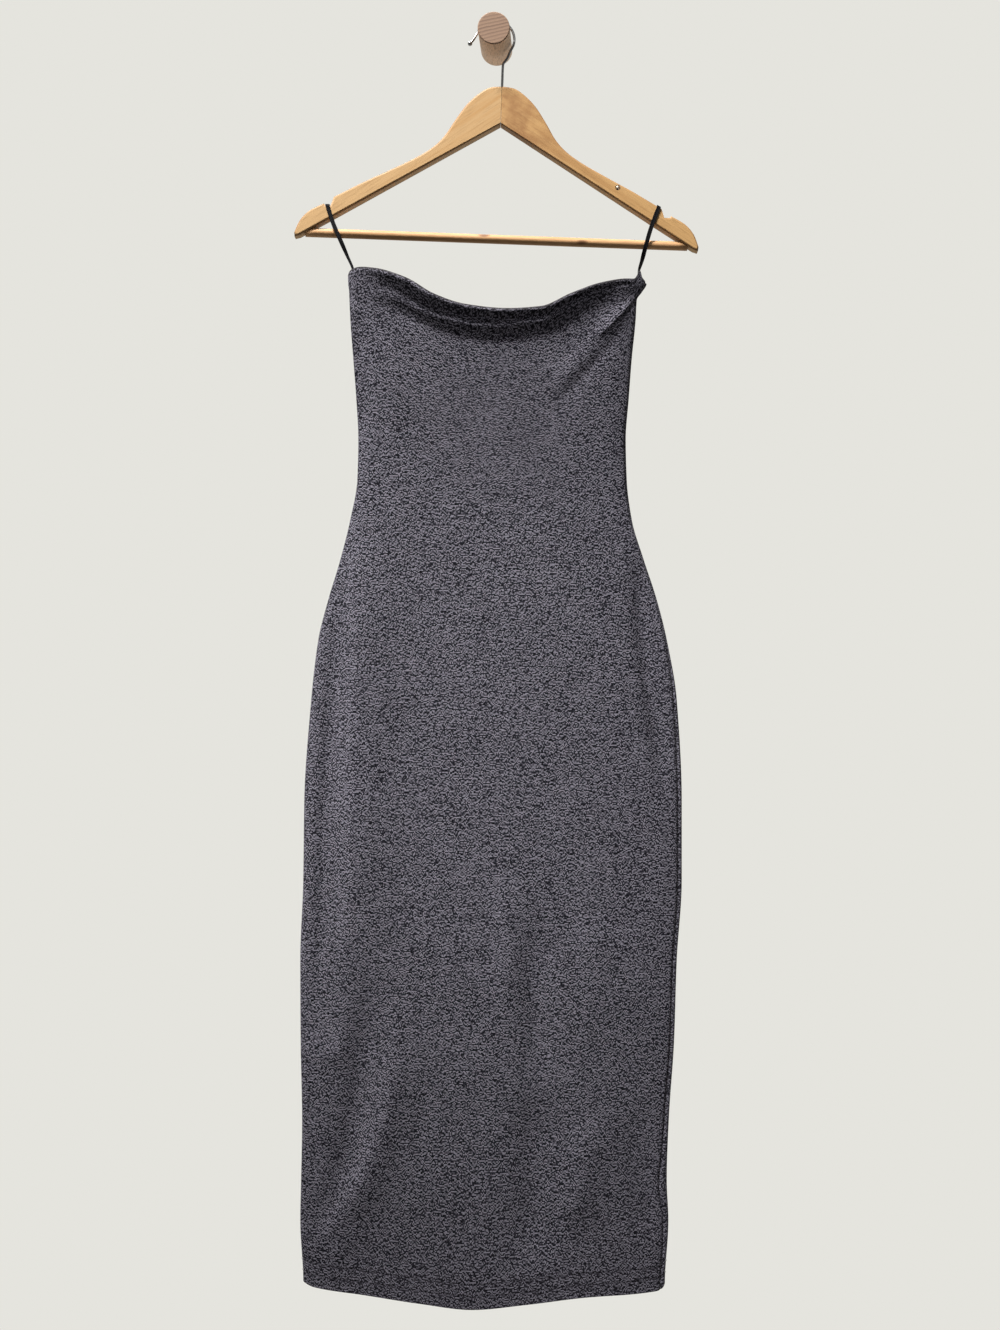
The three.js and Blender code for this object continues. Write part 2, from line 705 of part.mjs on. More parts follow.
// The seat of a ribbon on its arm: the notch's level floor, or the sloping top edge
// inboard of the notch
function armSeat(armAt) {
  if (armAt > NOTCH[0][0]) return { height: NOTCH[0][1], slope: HANGER_TILT };
  const last = ARM_TOP[ARM_TOP.length - 1];
  const fall = (last[1] - SHOULDER[1]) / (SHOULDER[0] - last[0]);
  const slope = HANGER_TILT + THREE.MathUtils.radToDeg(Math.atan(fall));
  return { height: last[1] - fall * (armAt - last[0]), slope };
}

function ribbonGeometry(stations) {
  const path = new THREE.CatmullRomCurve3(stations.map((stop) => stop.place), false, "centripetal");
  const spans = stations.length - 1;
  const rings = [];
  for (let i = 0; i <= spans * RIBBON_STEPS; i += 1) {
    const along = i / RIBBON_STEPS;
    const k = Math.min(Math.floor(along), spans - 1);
    const centre = path.getPoint(along / spans);
    const tangent = path.getTangent(along / spans);
    const flat = stations[k].flat.clone().lerp(stations[k + 1].flat, along - k);
    flat.addScaledVector(tangent, -flat.dot(tangent)).normalize();
    const thin = new THREE.Vector3().crossVectors(tangent, flat);
    rings.push([[-1, -1], [1, -1], [1, 1], [-1, 1]].map(([w, n]) => {
      const corner = centre.clone().addScaledVector(flat, w * RIBBON_WIDTH * 0.5);
      return corner.addScaledVector(thin, n * RIBBON_THICK * 0.5);
    }));
  }
  return closedTube(rings);
}

function closedTube(rings) {
  const sides = rings[0].length;
  const positions = [];
  const indices = [];
  for (const ring of rings) for (const point of ring) positions.push(point.x, point.y, point.z);
  for (let i = 0; i < rings.length - 1; i += 1) {
    for (let k = 0; k < sides; k += 1) {
      const next = (k + 1) % sides;
      const a = i * sides + k;
      const b = i * sides + next;
      indices.push(a, b, b + sides, a, b + sides, a + sides);
    }
  }
  const end = (rings.length - 1) * sides;
  indices.push(0, 2, 1, 0, 3, 2, end, end + 1, end + 2, end, end + 2, end + 3);
  const geometry = new THREE.BufferGeometry();
  geometry.setAttribute("position", new THREE.Float32BufferAttribute(positions, 3));
  geometry.setIndex(indices);
  return outward(geometry);
}

// Materials
const jersey = (color) => new THREE.MeshStandardMaterial({ color, roughness: 0.95 });
const wood = (color) => new THREE.MeshStandardMaterial({ color, roughness: 0.5 });
const ribbonBlack = () => new THREE.MeshStandardMaterial({ color: 0x0d0b0c, roughness: 0.45 });
const steel = () => new THREE.MeshStandardMaterial({ color: 0xb9b9bb, roughness: 0.3, metalness: 1 });

function piece(name, geometry, material) {
  const mesh = new THREE.Mesh(geometry, material);
  mesh.name = name;
  return mesh;
}

function buildDress() {
  const dress = new THREE.Group();
  const leftLoop = loopStations(-1, LEFT_LOOP);
  const rightLoop = loopStations(1, RIGHT_LOOP);
  dress.add(piece("front_panel", panelGeometry(frontArcs), jersey(0x504e54)));
  dress.add(piece("back_panel", panelGeometry(backArcs), jersey(0x4a484e)));
  dress.add(piece("hanger_loop_left", ribbonGeometry(leftLoop), ribbonBlack()));
  dress.add(piece("hanger_loop_right", ribbonGeometry(rightLoop), ribbonBlack()));
  return dress;
}

function buildHanger() {
  const hanger = new THREE.Group();
  hanger.position.set(APEX_X, HANG_Y, APEX_Z);
  hanger.rotation.y = TILT;
  hanger.add(piece("hanger_arm_left", armGeometry(-1), wood(0xccac87)));
  hanger.add(piece("hanger_arm_right", armGeometry(1), wood(0xc4a076)));
  hanger.add(piece("hanger_bar", barRod(BAR_RADIUS, 2 * BAR_HALF), wood(0xd0ae88)));
  hanger.add(piece("arm_screw", screwGeometry(), steel()));
  hanger.add(piece("hanger_hook", hookGeometry(), steel()));
  return hanger;
}

const group = new THREE.Group();
group.add(buildDress());
group.add(buildHanger());
group.add(piece("wall_peg", pegGeometry(), wood(0xac8d77)));

export default group;
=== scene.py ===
import math

import bpy
import numpy as np
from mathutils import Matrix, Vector


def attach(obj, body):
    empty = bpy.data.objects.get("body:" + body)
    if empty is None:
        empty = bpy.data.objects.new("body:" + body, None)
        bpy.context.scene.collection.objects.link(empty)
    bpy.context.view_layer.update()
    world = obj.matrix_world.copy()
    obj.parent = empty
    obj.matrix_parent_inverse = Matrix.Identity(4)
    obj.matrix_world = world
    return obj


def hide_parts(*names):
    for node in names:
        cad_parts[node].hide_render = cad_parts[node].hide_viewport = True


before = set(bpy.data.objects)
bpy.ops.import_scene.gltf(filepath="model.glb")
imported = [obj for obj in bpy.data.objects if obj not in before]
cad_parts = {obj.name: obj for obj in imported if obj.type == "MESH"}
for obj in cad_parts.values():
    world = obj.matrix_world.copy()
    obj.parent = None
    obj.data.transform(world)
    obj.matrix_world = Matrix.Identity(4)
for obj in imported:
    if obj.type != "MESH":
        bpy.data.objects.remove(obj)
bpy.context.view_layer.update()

# Sizes and tables are in millimetres unless a comment says otherwise. MM turns them into
# metres. +Z is up, the peg's flat back lies in the plane Y = 0 and the dress's front faces -Y.
MM = 0.001
GAP = 0.3
HANG_Y = -27

# Camera, level with the middle of the dress, and the photo's frame in pixels
CAMERA_AT = (3.7, -1403, -690)
FOCAL_PIXELS = 1250
FRAME_LONG_SIDE = 1330
SENSOR = 36

# Dress cloth
CLOTH = 1.2
RIM_CLOTH = 2
RIM_HEIGHT = 4.5
HEM_CLOTH = 2
HEM_HEIGHT = 26
HEM_STITCH_UP = (13.5, 26)
STITCH = {"length": 2.5, "gap": 0.8, "radius": 0.24, "groove": 0.5, "groove_width": 1.1}
# A stitch is a bead of thread: places along it from -1 to 1, and how thick it is there
STITCH_BEAD = [(-1, 0.3), (-0.8, 0.9), (0, 1), (0.8, 0.9), (1, 0.3)]
STITCH_LIFT = 0.25
STITCH_RISE = 0.7
LEFT_SEAM_ARC = 6
TOP_Z = -262
HEM_Z = -1376
LENGTH = TOP_Z - HEM_Z
NECK_FADE = 260
HEM_FADE = 200
BACK_DROOP = 0.9


def table(columns, rows):
    """A table as one array for each named column."""
    return {name: np.array([row[i] for row in rows], float) for i, name in enumerate(columns)}


SECTIONS = table(("z", "left", "right", "front", "back", "round", "seam"), [
    (-254, -163.8, 165.2, 11, 9.5, 3.4, 3),
    (-270.5, -163.4, 165.2, 11, 9.5, 3.4, 3),
    (-279, -162.4, 160.5, 11, 9.5, 3.4, 3),
    (-288, -162.1, 154.5, 11.5, 9.5, 3.3, 3),
    (-310, -161.1, 153.2, 12, 9.5, 3.2, 3),
    (-354, -157.8, 148.8, 12.5, 9, 3, 3),
    (-398, -154.5, 145.5, 12, 8.5, 3, 3),
    (-442, -152.3, 142.2, 11.5, 8, 3, 3.3),
    (-486, -153.4, 143.3, 11.5, 8, 3, 3.5),
    (-530, -161.1, 148.8, 12, 8.5, 3, 3.5),
    (-574, -172.1, 162, 13, 9, 3, 3.5),
    (-618, -185.3, 176.3, 14, 9.5, 3, 3.5),
    (-662, -196.3, 187.3, 14.5, 10, 3, 4.5),
    (-728, -204.1, 198.3, 15, 10, 3, 7),
    (-839, -211.8, 203.8, 14.5, 10, 3, 7.5),
    (-927, -212.9, 203.8, 14, 10, 3, 7.5),
    (-1015, -216.2, 198.3, 13.5, 9.5, 3, 7.5),
    (-1103, -215.8, 195.4, 13, 9.5, 3, 7.5),
    (-1191, -214.2, 189.5, 12.5, 9, 3, 8),
    (-1257, -215.3, 187.3, 12.5, 9, 3, 10),
    (-1301, -216.2, 189.1, 12, 9, 3, 8.5),
    (-1367, -212.9, 185.3, 12, 9, 3, 8),
    (-1400, -212.8, 184.9, 12, 9, 3, 8),
])
NECKLINE = table(("u", "z"), [
    (-1, -261.8),
    (-0.987, -258),
    (-0.97, -256.1),
    (-0.93, -255),
    (-0.82, -257.8),
    (-0.62, -269.3),
    (-0.4, -288.6),
    (-0.19, -299.4),
    (0.08, -303.8),
    (0.33, -301.1),
    (0.52, -287.6),
    (0.68, -274.8),
    (0.86, -267.6),
    (0.912, -267.1),
    (0.94, -260.3),
    (0.952, -257.3),
    (0.966, -264.8),
    (0.985, -268.1),
    (1, -270.3),
])
HEMLINE = table(("u", "z"), [
    (-1, -1367.6),
    (-0.94, -1372.1),
    (-0.68, -1378.2),
    (-0.35, -1387.8),
    (-0.065, -1394.3),
    (0.23, -1388.9),
    (0.56, -1381.2),
    (0.97, -1376.4),
    (0.985, -1374.6),
    (1, -1370.1),
])
# The cowl under the neckline: the cloth hangs forward and comes back in at "reach", with a
# tuck under the turned rim and a ridge under that
COWL = table(("u", "overhang", "reach", "tuck_at", "tuck_width", "tuck", "ridge_at", "ridge"), [
    (-1, 0, 40, 12, 6, 0, 27, 0),
    (-0.88, 5.5, 44, 15, 9, 0.8, 27, 0),
    (-0.71, 11.5, 43, 16, 8.5, 2.2, 26, 0.4),
    (-0.53, 14.5, 41, 16, 7, 4.2, 25.5, 1.1),
    (-0.28, 13, 35, 11, 5, 6, 22, 2.2),
    (0.02, 12.5, 33, 10.5, 4.6, 5.6, 21, 2.3),
    (0.25, 10.8, 31, 8.5, 4, 4.6, 17, 1.5),
    (0.45, 10.5, 31, 8.5, 4.2, 4.2, 16, 0.6),
    (0.65, 8, 31, 7.5, 3.4, 3, 15, 0),
    (0.82, 3.2, 30, 6, 2.6, 1.5, 13, 0),
    (0.93, 1, 30, 6, 2, 0.4, 13, 0),
    (1, 0, 30, 6, 2, 0, 13, 0),
])
COWL_START = 3
BACK_COWL = 0.35
RIM_ROLL = {"at": 4, "width": 3, "height": 2.3, "fade": 2.5}
RIDGE_WIDTH = 3.6
RELIEF_SWELL = 0.7
THICK_ACROSS = (0.75, 0.9)
BAND_BLEND = 2

# Soft folds: each from (x0, z0) to (x1, z1), bowed sideways, proud of the cloth or, where
# height is negative, lying in it, as wide to its left and to its right as stated
FOLD_RISE = (-0.05, 0.3)
FOLD_FALL = (0.7, 1.05)
FOLD_COLUMNS = ("x0", "z0", "x1", "z1", "bow", "left", "right", "height")
FRONT_FOLDS = [
    (154, -285, 110, -334, 2, 4.5, 4, 2.2),
    (150, -288, 60, -392, 3, 10, 9, 2.3),
    (153, -292, 50, -424, 4, 8, 8, -1.3),
    (167, -275, 96, -350, 2, 1.8, 1.8, -2.2),
    (-144, -296, -74, -392, 3, 9, 9, -2),
    (-160, -279, -148, -300, 0, 4, 4, -1.6),
    (-153, -292, -147, -460, 0, 6, 10, -4.5),
    (-138, -350, -104, -600, 0, 9, 22, 2),
    (-148, -470, -170, -1160, 3, 9, 38, 6),
    (-166, -530, -196, -1130, -5, 9, 11, -4),
    (155, -550, 191, -850, -8, 9, 15, -5),
    (-113, -1060, -198, -1332, 28, 9, 24, 5.4),
    (-142, -1030, -188, -1312, 12, 15, 12, -5.2),
    (-214, -1100, -164, -1122, 0, 15, 15, 2.4),
    (-148, -1300, -186, -1352, 0, 12, 12, 1.5),
    (4, -920, 12, -1095, 0, 12, 16, 3.2),
    (42, -950, 46, -1165, 0, 14, 20, -4.2),
    (42, -1150, 40, -1352, 0, 20, 24, -6.4),
    (104, -1175, 80, -1312, 0, 14, 26, 3.4),
    (100, -955, 104, -1110, 0, 14, 26, 2.6),
    (86, -958, 160, -978, 0, 7, 7, -1.1),
    (146, -1170, 172, -1330, 0, 15, 12, -3.2),
]
BACK_FOLDS = [
    (-148, -290, -70, -392, -4, 8, 8, 2),
    (140, -292, 72, -385, 4, 8, 8, 1.8),
    (-150, -560, -176, -980, -8, 12, 30, 3),
    (160, -600, 178, -1020, 6, 28, 11, 2.8),
    (118, -1110, 168, -1310, -12, 20, 12, 3.6),
    (-30, -900, -22, -1120, 0, 14, 18, -2.4),
    (-96, -1140, -120, -1330, 8, 16, 20, 2.8),
]

# How finely the cloth is worked out
ROUND_STEPS = 260
EDGE_CROWDING = 0.7
COLUMNS = 150
COLUMN_CROWDING = 0.75
RIM_STEPS = 5
NECK_ROWS = {"first": 0.6, "step": 0.9, "end": 60}
BODY_ROWS = 170
HEM_ROWS = {"start": 34, "end": 1, "count": 40}

# How finely round things are worked out
SIDES = {"bar": 40, "wire": 16, "ball": 24, "screw": 40, "peg": 96, "stitch": 6, "floor": 96}
BAR_RINGS = 40
EDGE_STEPS = 5
HOOK_STEPS = 8
ARM_STEPS = {"top": 6, "cap": 8}
BALL_TURNS = (4, 176, 18)

# Seams: the cloth turns in towards them
SEAM_ROLL = {"depth": 1.5, "width": 1.7}
SEAM_WAVER = {"at": -1262, "width": 22, "height": 2.2}

# Hanger
APEX_X = 5.9
APEX_Z = -55.4
TILT = math.radians(2.1)
ARM_THICK = 13
ARM_ROUND = 2.4
MITRE_LIMIT = 0.55
ARM_TOP = [
    (14, -1.9),
    (26, -9.5),
    (38, -21.3),
    (50, -38.7),
    (61, -56.4),
    (74, -69.7),
    (92, -81.6),
    (117, -94.7),
    (148, -110.2),
]
SHOULDER = (180, -127.8)
NOTCH = [(183.2, -137.3), (189.8, -137.3), (190.4, -135.2)]
CAP = [(206, -143.6), (216, -154.2), (222, -168)]
TIP = [(221.5, -172.6), (216, -171)]
ARM_FOOT = (180, -149.6)
ARM_CROTCH = (0, -41.2)
BAR_RADIUS = 4.75
BAR_DROP = -166.3
BAR_HALF = 210
BAR_KNOTS = [(-13.7, -218.3), (93.9, -226)]
KNOT_SIZE = (6, 2.2)

# Hook, screw and peg
WIRE_RADIUS = 1.4
STEM_DEPTH = 24
HOOK_STEM = (-8, 12, 21)
HOOK_NECK = [(7.4, -28.2), (11.8, -22)]
HOOK_RADIUS = 20.7
HOOK_X = -1.2
HOOK_TURN = range(-38, 153, 19)
HOOK_END = [(-22.8, 2.6), (-25.8, -1.9)]
HOOK_TIP = (-29.3, -6)
HOOK_BALL = 2.5
SCREW_AT = (130.7, -106.5)
SCREW_RADIUS = 2.8
# The screw's dome and its washer ring, as (radius, height over the arm)
SCREW_PROFILE = [
    (0.01, 0.7),
    (0.9, 0.65),
    (1.5, 0.45),
    (1.75, 0.1),
    (1.85, -0.2),
    (2.0, -0.2),
    (2.15, 0.15),
    (2.45, 0.3),
    (SCREW_RADIUS, 0.1),
    (SCREW_RADIUS, -1.4),
    (0.01, -1.4),
]
PEG_RADIUS = 17.5
PEG_LENGTH = 50
PEG_CHAMFER = 1
PEG_BEVEL = 1.6
PEG_LEAN = -3.2

# Ribbon loops
RIBBON_WIDTH = 4.6
RIBBON_THICK = 1
RIBBON_Y = -27.35
RIBBON_STEPS = 12
# The ribbon's bead, as (place in from its edge, share of half the thickness), and its web
RIBBON_BEAD = [(0, 0.0), (0.15, 0.8), (0.5, 1.0), (0.9, 0.72)]
RIBBON_WEB = 0.8
LOOP_RAKE = 0.34
LOOP_TWIST = {"tucked": 90, "corner": 84, "between": 58, "under_bar": 14}
LOOP_SPREAD = {"between": 3.6, "under_bar_inset": 0.7, "top_inset": 1.6}
LOOP_BELOW_BAR = 4
LOOP_TUCK_STOP = 0.4
LOOP_OVER_ARM = (3, 0.9)
LEFT_LOOP = {"arm_at": 186.5, "corner": (-158.3, -254), "tuck_in": 0.6, "tuck_down": 12}
RIGHT_LOOP = {"arm_at": 176.8, "corner": (156.5, -256.5), "tuck_in": 0.2, "tuck_down": 23}

# Knit, in metres: its courses and wales, the streaks of marl along a course and the dark rim
# band, partly a browner turned edge and partly painted shade over its lit top
COURSE = 0.0013
COURSE_WAVER = 3 * COURSE
WALE = 0.0012
STREAK = 0.0024
RIM_BROWN_AND_SHADE_SPAN = (0.0028, 0.0008)

# Knit, as shares: random stitches against streaks, and a course against its neighbours
GRAIN_SHARE = 0.6
ROW_CONTRAST = 0.75
ROW_SHIFT = 7.31
# Share of the rim band's darkening: a browner turned edge and painted shade over its lit top
RIM_BROWN_AND_SHADE_SHARE = 0.75

# Stretch of the patterns along their own axes
FIGURE_SCALE = (5.0, 60.0, 110.0)
FIBRE_SCALE = (50.0, 600.0, 600.0)
PORE_SCALE = (1000.0, 220.0, 1000.0)
RIBBON_FIBRES = (4000.0, 300.0)

# Places and steps of marks, in metres, and the growth lines' rise in degrees
SOIL_SPAN = (0.12, 0.02)
PEG_END_SPAN = (-0.0497, -0.0485)
GROWTH_STEP = 0.0037
GROWTH_RISE = 13
RIBBON_RIB = 0.0006
SCREW_RING_SPAN = (0.0014, 0.002)

# Colours, in linear light
MARL = [(0.004, 0.0036, 0.0055), (0.0165, 0.0153, 0.0205), (0.17, 0.16, 0.189)]
FRONT_TONE = 0.85
# The back panel's knit, a little darker than the front's as painted shade
BACK_SHADED_TONE = 0.83
# Rim band colour: a browner turned edge, darkened further as painted shade
RIM_BROWN_AND_SHADE_COLOUR = (0.03, 0.027, 0.026)
SOIL_COLOUR = (0.18, 0.075, 0.023)
KNOT_COLOUR = (0.11, 0.045, 0.018)
# Rounded wood edges: wear, darkened further as painted shade that dulls their lit highlights
WORN_AND_SHADED_EDGE_COLOUR = (0.17, 0.085, 0.036)
PEG_END_COLOUR = (0.215, 0.13, 0.08)
# Peg's side grain, paler than its end and brightened further as painted light from below
PEG_SIDE_GRAIN_AND_LIGHT_COLOUR = (0.6, 0.41, 0.275)
GROWTH_COLOUR = (0.075, 0.036, 0.021)
PORE_COLOUR = (0.15, 0.09, 0.06)
RIBBON_COLOURS = [(0.002, 0.002, 0.0025), (0.009, 0.0085, 0.0095)]
STEEL_COLOURS = [(0.17, 0.165, 0.16), (0.32, 0.32, 0.32)]
SCREW_COLOURS = [(0.52, 0.44, 0.35), (0.2, 0.14, 0.09)]
SCREW_RING_COLOUR = (0.06, 0.03, 0.015)
THREAD_COLOURS = [(0.012, 0.011, 0.015), (0.04, 0.037, 0.046)]
FLOOR_COLOURS = [(0.46, 0.456, 0.438), (0.49, 0.486, 0.467)]
BACKGROUND = (0.783, 0.776, 0.73, 1)

# Woods: their grain's angle in degrees to +X, their colours and what marks them
LEFT_WOOD = {"angle": 33, "pale": (0.385, 0.238, 0.107), "brown": (0.36, 0.202, 0.077)}
RIGHT_WOOD = {"angle": -34, "pale": (0.39, 0.228, 0.09), "brown": (0.33, 0.18, 0.067), "soil": 0.75}
BAR_WOOD = {"angle": -2, "pale": (0.43, 0.245, 0.115), "brown": (0.37, 0.195, 0.082)}

# Softboxes, in metres, watts and degrees: place, aim, width, power and spread
SOFTBOXES = {
    "key": ((-0.85, -1.05, 2.2), (0, 0, -0.5), 0.75, 25, 50),
    "side": ((-1.35, -1.6, -0.4), (0, 0, -0.86), 0.6, 1.7, 32),
}

# Light all round: how bright it is low and high, and where it changes, as parts of a unit way
ROOM_LOW = 0.035
ROOM_HIGH = 0.75
ROOM_HEIGHTS = (-0.05, 0.9)
BEHIND_SPAN = (-0.15, 0.15)

# Floor, well below the part
FLOOR = {"centre": (0, -200), "top": -2100, "thick": 10, "radius": 900}


# Curves and surfaces


def smooth(low, high, value):
    s = np.clip((value - low) / (high - low), 0, 1)
    return s * s * (3 - 2 * s)


def bell(distance, width):
    return np.exp(-((distance / width) ** 2))


def follow(rows, by, key, values):
    """Smooth curve through a table's rows, with no overshoot between them."""
    at, level = rows[by], rows[key]
    if at[0] > at[-1]:
        at, level = at[::-1], level[::-1]
    slope = np.diff(level) / np.diff(at)
    before, after = slope[:-1], slope[1:]
    same_way = before * after > 0
    total = np.where(same_way, before + after, 1)
    inner = np.where(same_way, 2 * before * after / total, 0)
    tangent = np.concatenate([slope[:1], inner, slope[-1:]])
    v = np.clip(values, at[0], at[-1])
    k = np.clip(np.searchsorted(at, v, side="right") - 1, 0, len(at) - 2)
    span = at[k + 1] - at[k]
    s = (v - at[k]) / span
    rise = s * s * (3 - 2 * s)
    lead = span * s * (1 - s) ** 2
    trail = span * s * s * (s - 1)
    return level[k] + (level[k + 1] - level[k]) * rise + tangent[k] * lead + tangent[k + 1] * trail


def through_points(points, positions):
    """Centripetal Catmull-Rom curve through points. A position of 1.5 is half way from the
    second point to the third."""
    p = np.asarray(points, float)
    padded = np.vstack([2 * p[0] - p[1], p, 2 * p[-1] - p[-2]])
    found = []
    for position in positions:
        k = min(int(position), len(p) - 2)
        w = position - k
        p0, p1, p2, p3 = padded[k:k + 4]
        d0, d1, d2 = (max(np.linalg.norm(b - a), 1e-6) ** 0.5
                      for a, b in ((p0, p1), (p1, p2), (p2, p3)))
        t1 = ((p1 - p0) / d0 - (p2 - p0) / (d0 + d1) + (p2 - p1) / d1) * d1
        t2 = ((p2 - p1) / d1 - (p3 - p1) / (d1 + d2) + (p3 - p2) / d2) * d1
        cubic = 2 * p1 - 2 * p2 + t1 + t2
        square = 3 * (p2 - p1) - 2 * t1 - t2
        found.append(((cubic * w + square) * w + t1) * w + p1)
    return np.array(found)


def even_spline(points, steps):
    """Uniform Catmull-Rom curve through points, without its first point."""
    p = np.asarray(points, float)
    padded = np.vstack([p[0], p, p[-1]])
    found = []
    for k in range(len(p) - 1):
        p0, p1, p2, p3 = padded[k:k + 4]
        v0, v1 = (p2 - p0) * 0.5, (p3 - p1) * 0.5
        for step in range(1, steps + 1):
            w = step / steps
            cubic = 2 * p1 - 2 * p2 + v0 + v1
            square = 3 * (p2 - p1) - 2 * v0 - v1
            found.append(((cubic * w + square) * w + v0) * w + p1)
    return found


def cloth_height(u, is_back, t):
    """Height of the point a length t down the cloth from the neckline."""
    droop = 1 - (1 - BACK_DROOP) * (1 - u * u) if is_back else 1
    neck = (follow(NECKLINE, "u", "z", u) - TOP_Z) * droop
    hem = follow(HEMLINE, "u", "z", u) - HEM_Z
    level = TOP_Z - t
    return level + neck * (1 - smooth(0, NECK_FADE, t)) + hem * smooth(LENGTH - HEM_FADE, LENGTH, t)


def cowl_relief(u, t):
    """How far the cowl carries the front cloth forward."""
    row = {key: follow(COWL, "u", key, u) for key in COWL if key != "u"}
    rolled = RIM_ROLL["height"] * (1 - np.abs(u) ** RIM_ROLL["fade"])
    roll = rolled * bell(t - RIM_ROLL["at"], RIM_ROLL["width"])
    hang = row["overhang"] * (1 - smooth(COWL_START, row["reach"], t))
    tuck = row["tuck"] * bell(t - row["tuck_at"], row["tuck_width"])
    return hang + roll - tuck + row["ridge"] * bell(t - row["ridge_at"], RIDGE_WIDTH)


def fold_relief(folds, x, z):
    relief = np.zeros(np.broadcast(x, z).shape)
    for row in folds:
        fold = dict(zip(FOLD_COLUMNS, row))
        run = np.array([fold["x1"] - fold["x0"], fold["z1"] - fold["z0"]], float)
        length = np.linalg.norm(run)
        way = run / length
        s = ((x - fold["x0"]) * way[0] + (z - fold["z0"]) * way[1]) / length
        aside = (z - fold["z0"]) * way[0] - (x - fold["x0"]) * way[1]
        fade = smooth(*FOLD_RISE, s) * (1 - smooth(*FOLD_FALL, s))
        beside = aside - fold["bow"] * 4 * s * (1 - s)
        width = np.where(beside < 0, fold["left"], fold["right"])
        relief += fold["height"] * fade * bell(beside, width)
    return relief


def outer_face(u, is_back, t):
    """Points of the dress's outer face, u across from the left edge to the right edge."""
    z = cloth_height(u, is_back, t)
    left = follow(SECTIONS, "z", "left", z)
    right = follow(SECTIONS, "z", "right", z)
    fullness = follow(SECTIONS, "z", "round", z)
    depth = follow(SECTIONS, "z", "back" if is_back else "front", z)
    x = left + (right - left) * (u + 1) * 0.5
    swell = np.maximum(0, 1 - np.abs(u) ** fullness) ** (1 / fullness)
    cowl = cowl_relief(u, t) * (BACK_COWL if is_back else 1)
    folds = fold_relief(BACK_FOLDS if is_back else FRONT_FOLDS, x, z)
    out = depth * swell + (cowl + folds) * smooth(0, RELIEF_SWELL, swell)
    return np.stack([x, HANG_Y + (out if is_back else -out), z], axis=-1)


def cloth_rings(t):
    """Points all the way round the dress at each length t, with their arc lengths: from the
    right edge across the front to the left edge, then back across the back."""
    s = np.arange(ROUND_STEPS) / ROUND_STEPS
    across = EDGE_CROWDING * np.cos(np.pi * s) + (1 - EDGE_CROWDING) * (1 - 2 * s)
    front = outer_face(across[None, :], False, t[:, None])
    back = outer_face(-across[None, :], True, t[:, None])
    points = np.concatenate([front, back, front[:, :1]], axis=1)
    step = np.hypot(np.diff(points[..., 0], axis=1), np.diff(points[..., 1], axis=1))
    arcs = np.concatenate([np.zeros((len(t), 1)), np.cumsum(step, axis=1)], axis=1)
    return points, arcs


def on_rings(points, arcs, wanted):
    """Points at the wanted arc lengths of each ring."""
    found = np.empty(wanted.shape + (3,))
    for i, row in enumerate(wanted):
        around = row % arcs[i, -1]
        for axis in range(3):
            found[i, :, axis] = np.interp(around, arcs[i], points[i, :, axis])
    return found


def cloth_thickness(points, rings, t):
    """Thicker at the turned rim, away from the corners, and at the hem."""
    middle = (rings[:, :1, 0] + rings[:, ROUND_STEPS:ROUND_STEPS + 1, 0]) * 0.5
    half_width = (rings[:, :1, 0] - rings[:, ROUND_STEPS:ROUND_STEPS + 1, 0]) * 0.5
    u = np.abs(points[..., 0] - middle) / half_width
    down = t[:, None]
    hem_top = LENGTH - HEM_HEIGHT
    rim = (RIM_CLOTH - CLOTH) * (1 - smooth(RIM_HEIGHT, RIM_HEIGHT + BAND_BLEND, down))
    hem = (HEM_CLOTH - CLOTH) * smooth(hem_top - BAND_BLEND, hem_top, down)
    return CLOTH + (rim + hem) * (1 - smooth(*THICK_ACROSS, u))


def row_lengths():
    """Lengths down the cloth of its rows: close under the neckline and at the hem."""
    neck = np.arange(NECK_ROWS["first"], NECK_ROWS["end"], NECK_ROWS["step"])
    hem_start = LENGTH - HEM_ROWS["start"]
    body = np.linspace(NECK_ROWS["end"], hem_start, BODY_ROWS, endpoint=False)
    hem = np.linspace(hem_start, LENGTH - HEM_ROWS["end"], HEM_ROWS["count"])
    return np.concatenate([neck, body, hem])


def spread(start, end):
    """Arc lengths of a panel's columns, closer at its side edges."""
    s = np.linspace(0, 1, COLUMNS)
    eased = s - COLUMN_CROWDING * np.sin(2 * np.pi * s) / (2 * np.pi)
    return start[:, None] + (end - start)[:, None] * eased[None, :]


def normals_of(points):
    """Outward unit normals of a panel's points, which run down and across."""
    down = np.gradient(points, axis=0)
    across = np.gradient(points, axis=1)
    normal = np.cross(across, down)
    return normal / np.maximum(np.linalg.norm(normal, axis=-1, keepdims=True), 1e-9)


# Meshes


def mesh_object(name, points, faces, material, cloth_map=None, values=None):
    """An object in metres from points in millimetres. cloth_map gives each point's place on
    the cloth and values named numbers for each point, both for its material to read."""
    mesh = bpy.data.meshes.new(name)
    mesh.from_pydata((np.asarray(points) * MM).tolist(), [], [list(face) for face in faces])
    mesh.polygons.foreach_set("use_smooth", [True] * len(mesh.polygons))
    if cloth_map is not None:
        corner = np.empty(len(mesh.loops), np.int32)
        mesh.loops.foreach_get("vertex_index", corner)
        layer = mesh.uv_layers.new(name="cloth")
        layer.data.foreach_set("uv", (np.asarray(cloth_map) * MM)[corner].ravel())
    for key, numbers in (values or {}).items():
        attribute = mesh.attributes.new(key, "FLOAT", "POINT")
        attribute.data.foreach_set("value", np.asarray(numbers, np.float32))
    mesh.materials.append(material)
    mesh.validate()
    made = bpy.data.objects.new(name, mesh)
    bpy.context.scene.collection.objects.link(made)
    return made


